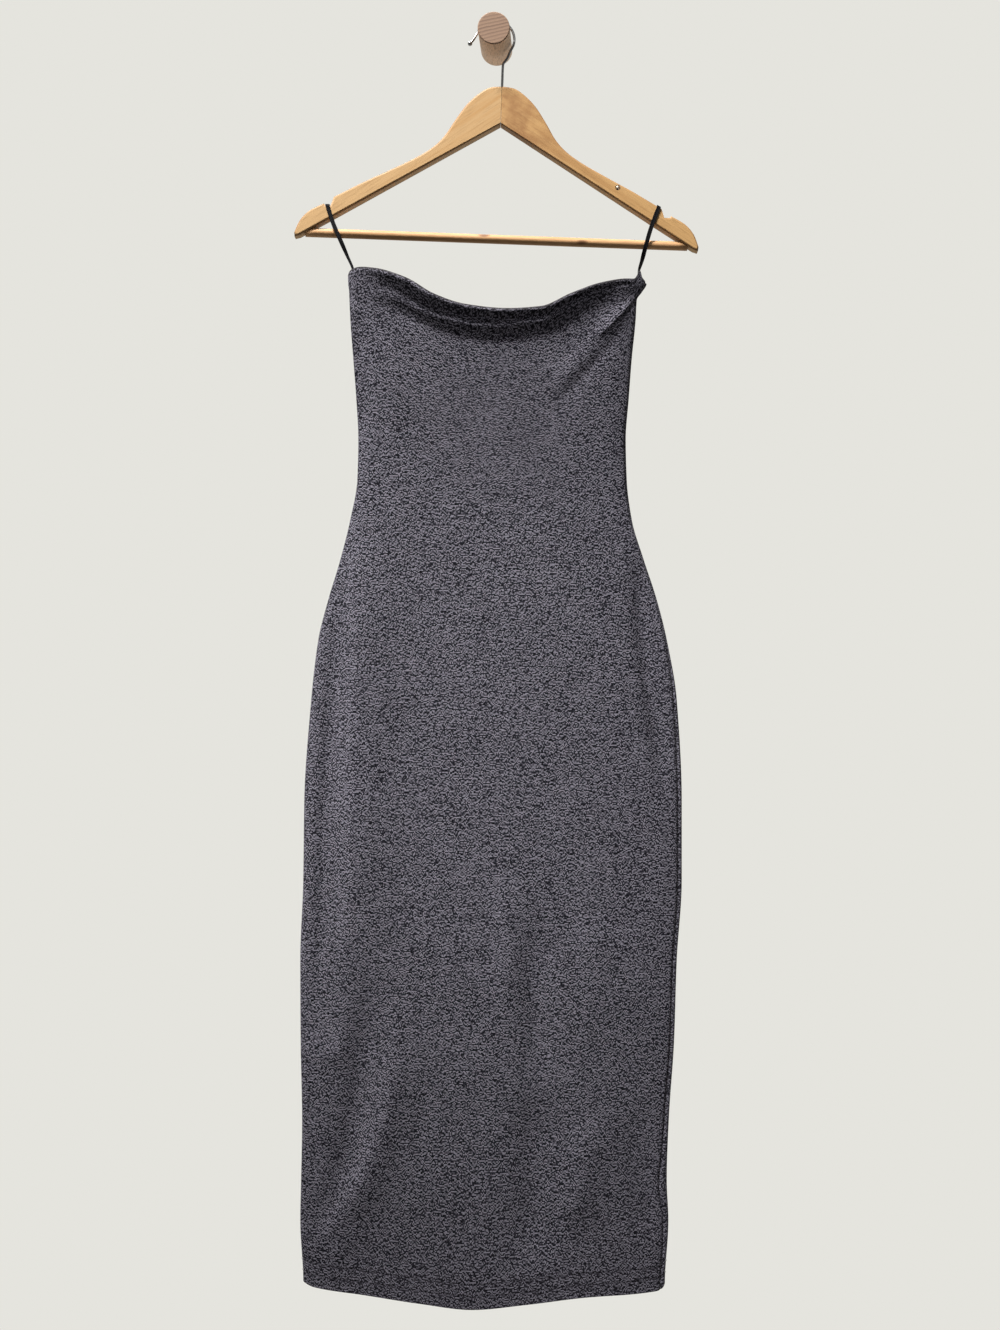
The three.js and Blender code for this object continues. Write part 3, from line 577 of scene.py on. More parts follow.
def grid_faces(rows, columns, close_rows=False, close_columns=False):
    """Quads of a grid of points, row after row."""
    faces = []
    for i in range(rows if close_rows else rows - 1):
        for j in range(columns if close_columns else columns - 1):
            k = (j + 1) % columns
            n = (i + 1) % rows
            faces.append((i * columns + j, i * columns + k, n * columns + k, n * columns + j))
    return faces


def tube_mesh(rings):
    """Points and faces of a closed tube from rings of points, with flat ends."""
    count, sides = len(rings), len(rings[0])
    faces = grid_faces(count, sides, close_columns=True)
    faces.append(tuple(range(sides))[::-1])
    faces.append(tuple((count - 1) * sides + k for k in range(sides)))
    return np.vstack(rings), faces


def ring_round(centre, across, up, radius, sides):
    turns = 2 * np.pi * np.arange(sides) / sides
    return np.array([centre + radius * (across * math.cos(a) + up * math.sin(a)) for a in turns])


def lathe(centre, axis, across, profile, sides):
    """Rings round an axis from a profile of (radius, distance along the axis)."""
    centre, axis, across = (np.asarray(v, float) for v in (centre, axis, across))
    up = np.cross(axis, across)
    return [
        ring_round(centre + axis * along, across, up, radius, sides)
        for radius, along in profile
    ]


def quarter_turns():
    """Angles of a rounded edge's steps, in radians."""
    return np.radians(np.linspace(0, 90, EDGE_STEPS + 1))


def dressed(piece, slot, *nodes):
    """A finished piece: it rides on the part and stands for nodes, which it hides. The slot is not
    used.
    """
    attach(piece, "root")
    if nodes:
        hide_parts(*nodes)
    return piece


# Materials, worked out in metres


class Nodes:
    """Short calls that build a material's nodes."""

    def __init__(self, name, **shader):
        self.material = bpy.data.materials.new(name)
        self.material.use_nodes = True
        self.tree = self.material.node_tree
        self.shader = self.tree.nodes["Principled BSDF"]
        for key, value in shader.items():
            self.shader.inputs[key.replace("_", " ")].default_value = value

    def put(self, socket, value):
        if isinstance(value, bpy.types.NodeSocket):
            self.tree.links.new(value, socket)
        else:
            socket.default_value = value

    def add(self, kind, inputs=(), **settings):
        node = self.tree.nodes.new(kind)
        for key, value in settings.items():
            setattr(node, key, value)
        for key, value in dict(inputs).items():
            self.put(node.inputs[key], value)
        return node

    def place(self):
        """A point's place in the part's frame."""
        return self.add("ShaderNodeTexCoord").outputs["Object"]

    def cloth_map(self):
        """A point's place on the flat cloth or ribbon."""
        return self.add("ShaderNodeUVMap", uv_map="cloth").outputs[0]

    def math(self, operation, *values):
        return self.add("ShaderNodeMath", enumerate(values), operation=operation).outputs[0]

    def plus(self, a, b):
        return self.math("ADD", a, b)

    def minus(self, a, b):
        return self.math("SUBTRACT", a, b)

    def times(self, a, b):
        return self.math("MULTIPLY", a, b)

    def over(self, a, b):
        return self.math("DIVIDE", a, b)

    def squared(self, value):
        return self.times(value, value)

    def vector(self, x, y, z=0.0):
        return self.add("ShaderNodeCombineXYZ", {0: x, 1: y, 2: z}).outputs[0]

    def stretched(self, parts, factors):
        """A vector of parts, each times its own factor."""
        return self.vector(*(self.times(part, factor) for part, factor in zip(parts, factors)))

    def apart(self, vector):
        return self.add("ShaderNodeSeparateXYZ", {0: vector}).outputs

    def noise(self, vector, scale, detail=2, roughness=0.5, distortion=0):
        inputs = {"Vector": vector, "Scale": scale, "Detail": detail}
        inputs |= {"Roughness": roughness, "Distortion": distortion}
        return self.add("ShaderNodeTexNoise", inputs).outputs["Fac"]

    def grain(self, inputs, dimensions="3D"):
        """An even random number for each whole place."""
        node = self.add("ShaderNodeTexWhiteNoise", inputs, noise_dimensions=dimensions)
        return node.outputs["Value"]

    def span(self, value, low, high, to_low=0.0, to_high=1.0):
        inputs = enumerate((value, low, high, to_low, to_high))
        return self.add("ShaderNodeMapRange", inputs, clamp=True).outputs[0]

    def mix(self, factor, a, b):
        node = self.add("ShaderNodeMix", data_type="RGBA", blend_type="MIX")
        self.put(node.inputs[0], factor)
        for key, colour in ((6, a), (7, b)):
            self.put(node.inputs[key], (*colour, 1) if isinstance(colour, tuple) else colour)
        return node.outputs[2]

    def ramp(self, factor, *stops):
        node = self.add("ShaderNodeValToRGB", {0: factor})
        elements = node.color_ramp.elements
        while len(elements) < len(stops):
            elements.new(0.5)
        for element, (place, colour) in zip(elements, stops):
            element.position = place
            element.color = (*colour, 1)
        return node.outputs[0]

    def finish(self, colour, height=None, lift=0.0002, strength=1.0, roughness=None):
        self.put(self.shader.inputs["Base Color"], colour)
        if roughness is not None:
            self.put(self.shader.inputs["Roughness"], roughness)
        if height is not None:
            inputs = {"Height": height, "Distance": lift, "Strength": strength}
            bump = self.add("ShaderNodeBump", inputs)
            self.put(self.shader.inputs["Normal"], bump.outputs[0])
        return self.material


def scaled(colour, factor):
    return tuple(factor * channel for channel in colour)


def jersey_material(name, tone):
    """Charcoal marl knit: each course is a row of short light and dark streaks."""
    finish = {"Roughness": 0.9, "Specular_IOR_Level": 0.04, "Sheen_Weight": 0.015}
    n = Nodes(name, **finish, Sheen_Roughness=0.5)
    uv = n.cloth_map()
    along, down, _ = n.apart(uv)
    waver = n.times(n.minus(n.noise(uv, 9, detail=1), 0.5), COURSE_WAVER)
    rows = n.over(n.plus(down, waver), COURSE)
    row = n.math("FLOOR", rows)
    wales = n.over(along, WALE)

    def yarn(at_row):
        grain = n.grain({"Vector": n.vector(n.math("FLOOR", wales), at_row)})
        streak_place = n.vector(n.over(along, STREAK), n.times(at_row, ROW_SHIFT))
        streak = n.span(n.noise(streak_place, 1, detail=2), 0.22, 0.78)
        return n.plus(n.times(streak, 1 - GRAIN_SHARE), n.times(grain, GRAIN_SHARE))

    beside = n.plus(yarn(n.plus(row, 1.0)), yarn(n.minus(row, 1.0)))
    own = n.minus(n.times(yarn(row), 1 + 2 * ROW_CONTRAST), n.times(beside, ROW_CONTRAST))
    cloud = n.span(n.noise(uv, 22, detail=3), 0.3, 0.7, -0.04, 0.04)
    dark, middle, light = (scaled(colour, tone) for colour in MARL)
    colour = n.ramp(n.plus(own, cloud), (0.12, dark), (0.5, middle), (0.96, light))
    # Top rim band: a browner turned edge, darkened further as painted shade over its lit top
    outer_side = n.span(down, -0.004, -0.002)
    rim = n.times(n.span(down, *RIM_BROWN_AND_SHADE_SPAN, 0.0, RIM_BROWN_AND_SHADE_SHARE), outer_side)
    colour = n.mix(rim, colour, RIM_BROWN_AND_SHADE_COLOUR)
    course_wave = n.math("ABSOLUTE", n.math("SINE", n.times(rows, math.pi)))
    wale_wave = n.math("ABSOLUTE", n.math("SINE", n.times(wales, math.pi)))
    height = n.plus(course_wave, n.times(wale_wave, 0.5))
    return n.finish(colour, height, lift=0.0002, strength=0.35)


def wood_material(name, angle, pale, brown, soil=0.0, knots=()):
    """Varnished wood, its grain at an angle in degrees to +X, darker along its rounded edges,
    partly from wear and partly as painted shade over their lit highlights. Soil browns it
    towards the joint. Each knot is at (x, z)."""
    varnish = {"Coat_Weight": 0.05, "Coat_Roughness": 0.4}
    n = Nodes(name, Roughness=0.55, Specular_IOR_Level=0.15, **varnish)
    place = n.place()
    turn = {"Vector": place, "Rotation": (0, math.radians(angle), 0)}
    turned = n.apart(n.add("ShaderNodeMapping", turn).outputs[0])
    figure_place = n.stretched(turned, FIGURE_SCALE)
    figure = n.noise(figure_place, 1.2, detail=4, roughness=0.6, distortion=0.4)
    fibre = n.noise(n.stretched(turned, FIBRE_SCALE), 1, detail=2)
    patches = n.noise(place, 40, detail=4, roughness=0.6)
    light = scaled(pale, 1.06)
    colour = n.ramp(figure, (0.3, brown), (0.5, pale), (0.75, light))
    fleck = n.span(fibre, 0.5, 0.72, 0.0, 0.4)
    colour = n.mix(fleck, colour, scaled(brown, 0.6))
    x, _, z = n.apart(place)
    if soil:
        held = n.times(n.span(x, *SOIL_SPAN), n.span(patches, 0.36, 0.62, 0.15, 1.0))
        colour = n.mix(n.times(held, soil), colour, SOIL_COLOUR)
    for knot_x, knot_z in knots:
        along = n.over(n.minus(x, knot_x * MM), KNOT_SIZE[0] * MM)
        up = n.over(n.minus(z, knot_z * MM), KNOT_SIZE[1] * MM)
        away = n.plus(n.squared(along), n.squared(up))
        colour = n.mix(n.span(away, 1.6, 0.2, 0.0, 0.85), colour, KNOT_COLOUR)
    # Rounded edges darkened: partly wear, partly painted shade that dulls their lit highlight
    edge = n.add("ShaderNodeAttribute", attribute_name="edge").outputs["Fac"]
    rounded = n.times(n.span(edge, 0.1, 0.5), n.span(edge, 1.0, 0.95))
    edge_wear_and_shade = n.times(rounded, n.span(patches, 0.3, 0.65, 0.6, 1.0))
    colour = n.mix(n.times(edge_wear_and_shade, 0.75), colour, WORN_AND_SHADED_EDGE_COLOUR)
    rough = n.span(figure, 0.3, 0.7, 0.5, 0.62)
    return n.finish(colour, fibre, lift=0.00008, strength=0.4, roughness=rough)


def peg_material():
    """Oiled dowel: growth lines across its end, rising to the right, and fine pores."""
    n = Nodes("peg_wood", Roughness=0.6, Specular_IOR_Level=0.25)
    place = n.place()
    x, y, z = n.apart(place)
    rise = math.radians(GROWTH_RISE)
    across = n.plus(n.times(z, math.cos(rise)), n.times(x, -math.sin(rise)))
    wobble = n.times(n.minus(n.noise(place, 60, detail=2), 0.5), 0.0018)
    ring = n.over(n.plus(across, wobble), GROWTH_STEP)
    wave = n.math("FRACT", ring)
    line = n.times(n.span(wave, 0.35, 0.8), n.span(wave, 1.0, 0.88))
    which = n.grain({"W": n.math("FLOOR", ring)}, dimensions="1D")
    middle = n.span(n.math("ABSOLUTE", n.plus(across, 0.0005)), 0.015, 0.004, 0.5, 1.0)
    weight = n.times(middle, n.span(which, 0.0, 1.0, 0.6, 1.0))
    pores = n.noise(n.stretched((x, y, z), PORE_SCALE), 1, detail=2)
    side = n.span(y, *PEG_END_SPAN)
    growth = n.times(n.times(line, weight), n.minus(1.0, side))
    # The side takes its paler side grain colour, brightened as painted light from below
    colour = n.mix(growth, n.mix(side, PEG_END_COLOUR, PEG_SIDE_GRAIN_AND_LIGHT_COLOUR), GROWTH_COLOUR)
    colour = n.mix(n.span(pores, 0.45, 0.72, 0.0, 0.5), colour, PORE_COLOUR)
    return n.finish(colour, pores, lift=0.00012, strength=0.5)


def ribbon_material():
    """Black satin ribbon with a fine cross rib."""
    n = Nodes("black_ribbon", Roughness=0.6, Specular_IOR_Level=0.04)
    across, along, _ = n.apart(n.cloth_map())
    rib = n.math("SINE", n.times(along, 2 * math.pi / RIBBON_RIB))
    fibres = n.noise(n.stretched((across, along), RIBBON_FIBRES), 1)
    colour = n.mix(n.span(fibres, 0.35, 0.7), *RIBBON_COLOURS)
    return n.finish(colour, rib, lift=0.00006, strength=0.5)


def steel_material():
    """Plated wire, dulled in small patches."""
    n = Nodes("plated_steel", Metallic=1.0)
    dulled = n.noise(n.place(), 420, detail=3)
    colour = n.mix(n.span(dulled, 0.35, 0.7), *STEEL_COLOURS)
    rough = n.span(dulled, 0.3, 0.7, 0.24, 0.38)
    return n.finish(colour, dulled, lift=0.00003, strength=0.3, roughness=rough)


def screw_material():
    """Dull nickel, dirtier in patches and dark in the ring round the head."""
    n = Nodes("screw_metal", Metallic=1.0)
    place = n.place()
    dirt = n.noise(place, 900, detail=2)
    colour = n.mix(n.span(dirt, 0.4, 0.7), *SCREW_COLOURS)
    centre = Vector(from_hanger(SCREW_AT[0], 0, SCREW_AT[1])) * MM
    x, _, z = n.apart(place)
    apart = n.plus(n.squared(n.minus(x, centre.x)), n.squared(n.minus(z, centre.z)))
    ring = n.span(n.math("SQRT", apart), *SCREW_RING_SPAN, 0.0, 0.85)
    colour = n.mix(ring, colour, SCREW_RING_COLOUR)
    rough = n.span(dirt, 0.3, 0.7, 0.45, 0.65)
    return n.finish(colour, dirt, lift=0.00003, strength=0.3, roughness=rough)


def thread_material():
    """Charcoal thread, its twist a fine light and dark."""
    n = Nodes("hem_thread", Roughness=0.85, Specular_IOR_Level=0.1)
    twist = n.noise(n.place(), 1800, detail=1)
    colour = n.mix(n.span(twist, 0.3, 0.7), *THREAD_COLOURS)
    return n.finish(colour, twist, lift=0.00005)


# Dress


def panel_grid(start_arc, end_arc):
    """Outer points, thickness and place on the cloth of a panel between two arc lengths."""
    t = row_lengths()
    rings, arcs = cloth_rings(t)
    half, whole = arcs[:, ROUND_STEPS], arcs[:, -1]
    seam = follow(SECTIONS, "z", "seam", TOP_Z - t)
    seam = seam + SEAM_WAVER["height"] * bell(TOP_Z - t - SEAM_WAVER["at"], SEAM_WAVER["width"])
    wanted = spread(start_arc(half, whole, seam), end_arc(half, whole, seam))
    outer = on_rings(rings, arcs, wanted)
    from_seam = np.minimum(wanted - wanted[:, :1], wanted[:, -1:] - wanted)
    sunk = SEAM_ROLL["depth"] * bell(from_seam, SEAM_ROLL["width"])
    for up in HEM_STITCH_UP:
        sunk += STITCH["groove"] * bell(t - (LENGTH - up), STITCH["groove_width"])[:, None]
    outer -= normals_of(outer) * sunk[..., None]
    thick = cloth_thickness(outer, rings, t)
    places = np.stack([wanted, np.broadcast_to(t[:, None], wanted.shape)], axis=-1)
    return outer, thick, places


def cloth_panel(name, start_arc, end_arc, material):
    """A closed thin wall: its outer face, its rounded neck edge, inner face and hem edge."""
    outer, thick, places = panel_grid(start_arc, end_arc)
    normal = normals_of(outer)
    inner = outer - normal * thick[..., None]

    def edge(row, way):
        middle = (outer[row] + inner[row]) * 0.5
        arm = outer[row] - middle
        turns = np.pi * np.arange(1, RIM_STEPS) / RIM_STEPS
        lift = np.array([0, 0, way]) * thick[row][:, None] * 0.5
        return [middle + arm * np.cos(turn) + lift * np.sin(turn) for turn in turns]

    def edge_places(row, way):
        steps = np.arange(1, RIM_STEPS) / RIM_STEPS * np.pi * 0.5
        still = 0 * thick[row]
        moves = [np.stack([still, way * thick[row] * s], axis=-1) for s in steps]
        return [places[row] + move for move in moves]

    inner_places = places * (1, -1)
    top, bottom = edge(0, 1)[::-1], edge(-1, -1)
    loop = [*top, *outer, *bottom, *inner[::-1]]
    flat = [*edge_places(0, -1)[::-1], *places, *edge_places(-1, 1), *inner_places[::-1]]
    rows, columns = len(loop), outer.shape[1]
    faces = grid_faces(rows, columns, close_rows=True)
    order = [i * columns for i in range(rows)]
    faces.append(tuple(order))
    faces.append(tuple(i + columns - 1 for i in order)[::-1])
    return mesh_object(name, np.vstack(loop), faces, material, cloth_map=np.vstack(flat))


def build_stitches():
    """Two rows of stitches round the hem, each a short bead of thread a little outside the
    cloth over its groove, with its ends lifted outward."""
    points, faces = [], []
    pitch = STITCH["length"] + STITCH["gap"]
    half = STITCH["length"] * 0.5
    radius = STITCH["radius"]
    for up in HEM_STITCH_UP:
        rings, arcs = cloth_rings(LENGTH - up + np.array([0, -1, 1]))
        middles = np.arange(0, arcs[0, -1] - pitch, pitch) + half
        start, middle, end = (
            on_rings(rings, arcs, np.tile(middles + way * half, (3, 1)))
            for way in (-1, 0, 1)
        )
        ahead = end[0] - start[0]
        ahead /= np.linalg.norm(ahead, axis=1, keepdims=True)
        inward = np.cross(middle[2] - middle[1], ahead)
        inward /= np.linalg.norm(inward, axis=1, keepdims=True)
        across = np.cross(ahead, inward)
        seat = middle[0] + inward * (radius * STITCH_RISE - STITCH["groove"])
        for k in range(len(middles)):
            bead = []
            for along, girth in STITCH_BEAD:
                lift = -STITCH_LIFT * radius * along * along
                centre = seat[k] + ahead[k] * along * half + inward[k] * lift
                ring = ring_round(centre, inward[k], across[k], girth * radius, SIDES["stitch"])
                bead.append(ring)
            bead_points, bead_faces = tube_mesh(bead)
            faces += [[len(points) + v for v in face] for face in bead_faces]
            points += list(bead_points)
    dressed(mesh_object("hem_stitches", points, faces, thread_material()), "jersey")


def build_dress():
    front = cloth_panel(
        "dress_front",
        lambda half, whole, seam: seam,
        lambda half, whole, seam: half + LEFT_SEAM_ARC,
        jersey_material("jersey_front", FRONT_TONE),
    )
    # The back panel: the same knit, a little darker as painted shade
    back = cloth_panel(
        "dress_back",
        lambda half, whole, seam: half + LEFT_SEAM_ARC + GAP,
        lambda half, whole, seam: whole + seam - GAP,
        jersey_material("jersey_back", BACK_SHADED_TONE),
    )
    dressed(front, "jersey", "front_panel")
    dressed(back, "jersey", "back_panel")


# Ribbon loops


def from_hanger(x, y, z):
    """A point of the hanger's own frame, seen in the part's frame."""
    return np.array([
        APEX_X + x * math.cos(TILT) + z * math.sin(TILT),
        HANG_Y + y,
        APEX_Z - x * math.sin(TILT) + z * math.cos(TILT),
    ])


def station(place, twist, slope):
    """A stop on the ribbon's way, with the way its width lies."""
    turn, lean = math.radians(twist), math.radians(slope)
    level = math.cos(turn)
    flat = np.array([level * math.cos(lean), math.sin(turn), -level * math.sin(lean)])
    return np.asarray(place, float), flat


def arm_seat(arm_at):
    """Height and slope of a ribbon's seat on its arm: the notch's floor or the top edge."""
    if arm_at > NOTCH[0][0]:
        return NOTCH[0][1], math.degrees(TILT)
    last = ARM_TOP[-1]
    fall = (last[1] - SHOULDER[1]) / (SHOULDER[0] - last[0])
    return last[1] - fall * (arm_at - last[0]), math.degrees(TILT + math.atan(fall))


def loop_stations(side, arm_at, corner, tuck_in, tuck_down):
    off = RIBBON_THICK * 0.5 + GAP
    face = ARM_THICK * 0.5 + off
    height, slope = arm_seat(arm_at)
    drop = (ARM_FOOT[1] - ARM_CROTCH[1]) / ARM_FOOT[0] * arm_at + ARM_CROTCH[1]
    bar_z = from_hanger(side * arm_at, 0, BAR_DROP)[2]

    def on_arm(way, down):
        return from_hanger(side * (arm_at - LOOP_RAKE * down), way * face, height - down)

    def strand(way):
        low = on_arm(way, height - drop)
        aside = way * (RIBBON_THICK + GAP) * 0.5
        end = np.array([corner[0] + aside, RIBBON_Y, corner[1]])
        tuck = np.array([-side * tuck_in, 0, -tuck_down])

        def between(s, y):
            x = end[0] + (low[0] - end[0]) * s
            return np.array([x, HANG_Y + way * y, end[2] + (low[2] - end[2]) * s])

        under_bar = (bar_z - BAR_RADIUS - LOOP_BELOW_BAR - end[2]) / (low[2] - end[2])
        below_bar = between(under_bar, face - LOOP_SPREAD["under_bar_inset"])
        over = from_hanger(side * arm_at, way * (face - LOOP_SPREAD["top_inset"]), height + off)
        return [
            station(end + tuck, LOOP_TWIST["tucked"], 0),
            station(end + tuck * LOOP_TUCK_STOP, LOOP_TWIST["tucked"], 0),
            station(end, LOOP_TWIST["corner"], 0),
            station(between(under_bar * 0.5, LOOP_SPREAD["between"]), LOOP_TWIST["between"], 0),
            station(below_bar, LOOP_TWIST["under_bar"], 0),
            station(low, 0, 0),
            *(station(on_arm(way, down), 0, slope) for down in LOOP_OVER_ARM),
            station(over, 0, slope),
        ]

    return strand(-1) + strand(1)[::-1]


def ribbon_section():
    """A ribbon's section with rounded edges and a fine bead along each: width, thickness."""
    half, thin = RIBBON_WIDTH * 0.5, RIBBON_THICK * 0.5
    bead = [(-half + inward, share) for inward, share in RIBBON_BEAD]
    upper = [*bead, (0.0, RIBBON_WEB)] + [(-w, n) for w, n in bead[::-1]]
    lower = [(w, -n) for w, n in upper[-2:0:-1]]
    return [(w, n * thin) for w, n in upper + lower]


def build_ribbon(name, side, loop, node, material):
    stations = loop_stations(side, **loop)
    places = np.array([place for place, _ in stations])
    flats = np.array([flat for _, flat in stations])
    spans = len(stations) - 1
    steps = np.arange(spans * RIBBON_STEPS + 1) / RIBBON_STEPS
    line = through_points(places, steps)
    nudge = 0.01
    ahead = through_points(places, np.minimum(steps + nudge, spans))
    behind = through_points(places, np.maximum(steps - nudge, 0))
    run = np.concatenate([[0], np.cumsum(np.linalg.norm(np.diff(line, axis=0), axis=1))])
    section = ribbon_section()
    rings, flat_places = [], []
    for i, step in enumerate(steps):
        k = min(int(step), spans - 1)
        way = ahead[i] - behind[i]
        way /= np.linalg.norm(way)
        wide = flats[k] + (flats[k + 1] - flats[k]) * (step - k)
        wide -= way * wide.dot(way)
        wide /= np.linalg.norm(wide)
        thin = np.cross(way, wide)
        rings.append(np.array([line[i] + wide * w + thin * n for w, n in section]))
        flat_places += [(w, run[i]) for w, _ in section]
    points, faces = tube_mesh(rings)
    made = mesh_object(name, points, faces, material, cloth_map=flat_places)
    return dressed(made, "ribbon", node)


def build_ribbons():
    material = ribbon_material()
    build_ribbon("ribbon_left", -1, LEFT_LOOP, "hanger_loop_left", material)
    build_ribbon("ribbon_right", 1, RIGHT_LOOP, "hanger_loop_right", material)


# Hanger


def arm_outline(side):
    """Outline of an arm in the hanger's frame, from the joint over the top to the crotch."""
    inner = GAP * 0.5
    points = [(inner, ARM_CROTCH[1]), (inner, 0.0)]
    points += [tuple(p) for p in even_spline([(inner, 0), *ARM_TOP], ARM_STEPS["top"])]
    points += [SHOULDER, *NOTCH]
    points += [tuple(p) for p in even_spline([NOTCH[-1], *CAP], ARM_STEPS["cap"])]
    points += [*TIP, ARM_FOOT]
    return np.array([(side * x, z) for x, z in points])


def inset(outline, amount):
    """The outline moved inward, with its corners kept from running past their neighbours."""
    before = outline - np.roll(outline, 1, axis=0)
    after = np.roll(outline, -1, axis=0) - outline
    unit = [way / np.linalg.norm(way, axis=1, keepdims=True) for way in (before, after)]
    x, z = outline[:, 0], outline[:, 1]
    area = (x * np.roll(z, -1) - np.roll(x, -1) * z).sum()
    inward = [np.column_stack([-way[:, 1], way[:, 0]]) * np.sign(area) for way in unit]
    both = inward[0] + inward[1]
    share = np.maximum((both ** 2).sum(axis=1, keepdims=True) * 0.5, MITRE_LIMIT)
    moved = outline + both / share * amount
    at_joint = np.abs(outline[:, 0]) < GAP
    moved[at_joint, 0] = outline[at_joint, 0]
    return moved


def build_arm(name, side, node, material):
    outline = arm_outline(side)
    half = ARM_THICK * 0.5
    profile = [
        (ARM_ROUND * (1 - math.sin(a)), -half + ARM_ROUND * (1 - math.cos(a)))
        for a in quarter_turns()
    ]
    profile += [(0.0, 0.0)] + [(depth, -y) for depth, y in profile[::-1]]
    rings, edge = [], []
    for depth, y in profile:
        ring = inset(outline, depth)
        rings.append(np.array([from_hanger(x, y, z) for x, z in ring]))
        edge += [1 - depth / ARM_ROUND] * len(ring)
    points, faces = tube_mesh(rings)
    made = mesh_object(name, points, faces, material, values={"edge": edge})
    made.modifiers.new("even_shading", "WEIGHTED_NORMAL").keep_sharp = False
    return dressed(made, "hanger_wood", node)


def build_bar(material):
    stops = np.linspace(-BAR_HALF, BAR_HALF, BAR_RINGS)
    left, right = from_hanger(-1, 0, 0), from_hanger(1, 0, 0)
    axis = (right - left) / 2
    centre = from_hanger(0, 0, BAR_DROP)
    profile = [(BAR_RADIUS, along) for along in stops]
    rings = lathe(centre, axis, (0, 1, 0), profile, SIDES["bar"])
    points, faces = tube_mesh(rings)
    edge = np.zeros(len(points))
    made = mesh_object("trouser_bar", points, faces, material, values={"edge": edge})
    return dressed(made, "hanger_wood", "hanger_bar")


def hook_line():
    centre_z = PEG_RADIUS + GAP + WIRE_RADIUS - HOOK_RADIUS
    points = [from_hanger(0, 0, z) for z in (-STEM_DEPTH, *HOOK_STEM)]
    turn = [
        (
            HOOK_X + HOOK_RADIUS * math.cos(math.radians(angle)),
            centre_z + HOOK_RADIUS * math.sin(math.radians(angle)),
        )
        for angle in HOOK_TURN
    ]
    points += [np.array([x, HANG_Y, z]) for x, z in [*HOOK_NECK, *turn, *HOOK_END, HOOK_TIP]]
    steps = np.arange((len(points) - 1) * HOOK_STEPS + 1) / HOOK_STEPS
    return through_points(points, steps)


def build_hook(material):
    line = hook_line()
    ways = np.gradient(line, axis=0)
    ways /= np.linalg.norm(ways, axis=1, keepdims=True)
    across = np.array([0.0, 1.0, 0.0])
    rings = [
        ring_round(point, across, np.cross(way, across), WIRE_RADIUS, SIDES["wire"])
        for point, way in zip(line, ways)
    ]
    points, faces = tube_mesh(rings)
    wire = mesh_object("hook_wire", points, faces, material)
    dressed(wire, "steel", "hanger_hook")
    tip = np.array([HOOK_TIP[0], HANG_Y, HOOK_TIP[1]])
    turns = np.radians(np.linspace(*BALL_TURNS))
    profile = [(HOOK_BALL * math.sin(a), -HOOK_BALL * math.cos(a)) for a in turns]
    points, faces = tube_mesh(lathe(tip, ways[-1], across, profile, SIDES["ball"]))
    dressed(mesh_object("hook_ball", points, faces, material), "steel")


def build_screw(material):
    """A domed screw head in a turned washer ring."""
    centre = from_hanger(SCREW_AT[0], -ARM_THICK * 0.5, SCREW_AT[1])
    rings = lathe(centre, (0, -1, 0), (1, 0, 0), SCREW_PROFILE, SIDES["screw"])
    points, faces = tube_mesh(rings)
    dressed(mesh_object("screw_head", points, faces, material), "steel", "arm_screw")


def build_peg():
    profile = [(0.01, 0), (PEG_RADIUS, 0), (PEG_RADIUS, PEG_LENGTH * 0.5)]
    profile += [
        (
            PEG_RADIUS - PEG_CHAMFER * (1 - math.cos(a)),
            PEG_LENGTH - PEG_CHAMFER * (1 - math.sin(a)),
        )
        for a in quarter_turns()
    ]
    profile += [(PEG_RADIUS - PEG_BEVEL * PEG_CHAMFER, PEG_LENGTH), (0.01, PEG_LENGTH)]
    rings = lathe((0, 0, 0), (0, -1, 0), (1, 0, 0), profile, SIDES["peg"])
    for ring in rings:
        ring[:, 0] += PEG_LEAN * -ring[:, 1] / PEG_LENGTH
    points, faces = tube_mesh(rings)
    dressed(mesh_object("peg_dowel", points, faces, peg_material()), "peg_wood", "wall_peg")


def build_hanger():
    left = wood_material("arm_wood_left", **LEFT_WOOD)
    right = wood_material("arm_wood_right", **RIGHT_WOOD)
    build_arm("arm_left", -1, "hanger_arm_left", left)
    build_arm("arm_right", 1, "hanger_arm_right", right)
    build_bar(wood_material("bar_wood", **BAR_WOOD, knots=BAR_KNOTS))
    build_hook(steel_material())
    build_screw(screw_material())
    build_peg()


# Camera, light and floor


def build_camera():
    data = bpy.data.cameras.new("camera")
    data.sensor_width = SENSOR
    data.lens = FOCAL_PIXELS / FRAME_LONG_SIDE * SENSOR
    camera = bpy.data.objects.new("camera", data)
    camera.location = Vector(CAMERA_AT) * MM
    camera.rotation_euler = (math.radians(90), 0, 0)
    bpy.context.scene.collection.objects.link(camera)
    bpy.context.scene.camera = camera


def softbox(name, place, aim, size, power, spread):
    """A round light with a grid before it, which keeps it within a spread in degrees."""
    data = bpy.data.lights.new(name, "AREA")
    data.shape = "DISK"
    data.size = size
    data.energy = power
    data.spread = math.radians(spread)
    light = bpy.data.objects.new(name, data)
    light.location = place
    light.rotation_euler = (Vector(aim) - Vector(place)).to_track_quat("-Z", "Y").to_euler()
    bpy.context.scene.collection.objects.link(light)


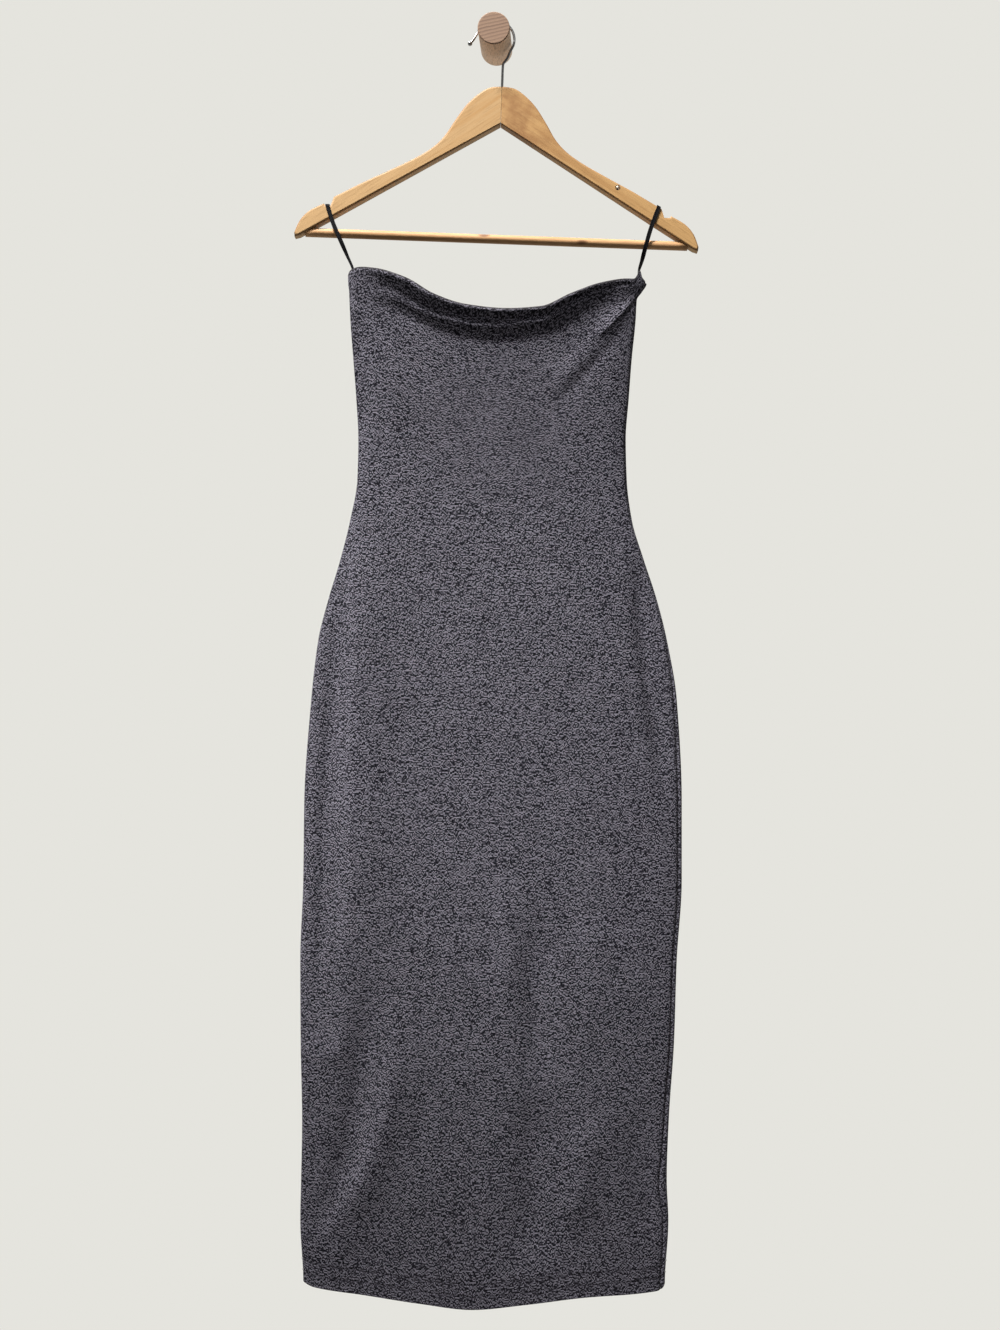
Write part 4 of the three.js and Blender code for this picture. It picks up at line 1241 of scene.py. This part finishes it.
def build_world():
    """Soft light all round: dim below and bright above before the object, even and bright
    behind it. The camera sees an even pale background."""
    world = bpy.data.worlds.new("studio")
    bpy.context.scene.world = world
    world.use_nodes = True
    nodes, links = world.node_tree.nodes, world.node_tree.links

    def node(kind, *values, **settings):
        made = nodes.new(kind)
        for key, value in settings.items():
            setattr(made, key, value)
        for socket, value in zip(made.inputs, values):
            if isinstance(value, bpy.types.NodeSocket):
                links.new(value, socket)
            elif value is not None:
                socket.default_value = value
        return made

    way = node("ShaderNodeSeparateXYZ", nodes.new("ShaderNodeTexCoord").outputs["Generated"])
    height = node("ShaderNodeMapRange", way.outputs[2], *ROOM_HEIGHTS, ROOM_LOW, ROOM_HIGH)
    behind = node("ShaderNodeMapRange", way.outputs[1], *BEHIND_SPAN)
    room = node("ShaderNodeCombineXYZ", *[height.outputs[0]] * 3)
    around = node("ShaderNodeMix", data_type="RGBA")
    links.new(behind.outputs[0], around.inputs[0])
    links.new(room.outputs[0], around.inputs[6])
    around.inputs[7].default_value = BACKGROUND
    sky = node("ShaderNodeBackground", around.outputs[2])
    plain = node("ShaderNodeBackground", BACKGROUND)
    seen = nodes.new("ShaderNodeLightPath").outputs["Is Camera Ray"]
    either = node("ShaderNodeMixShader", seen, sky.outputs[0], plain.outputs[0])
    links.new(either.outputs[0], nodes["World Output"].inputs[0])


def build_floor():
    """A round matt floor below the part."""
    n = Nodes("floor", Roughness=0.9)
    tone = n.span(n.noise(n.place(), 3), 0.3, 0.7)
    material = n.finish(n.mix(tone, *FLOOR_COLOURS))
    base = (*FLOOR["centre"], FLOOR["top"] - FLOOR["thick"])
    profile = [(FLOOR["radius"], 0), (FLOOR["radius"], FLOOR["thick"])]
    rings = lathe(base, (0, 0, 1), (1, 0, 0), profile, SIDES["floor"])
    points, faces = tube_mesh(rings)
    floor = mesh_object("floor", points, faces, material)


bpy.context.scene.view_settings.view_transform = "Standard"
build_camera()
build_world()
build_floor()
for light_name, light_settings in SOFTBOXES.items():
    softbox(light_name, *light_settings)
build_ribbons()
build_dress()
build_stitches()
build_hanger()
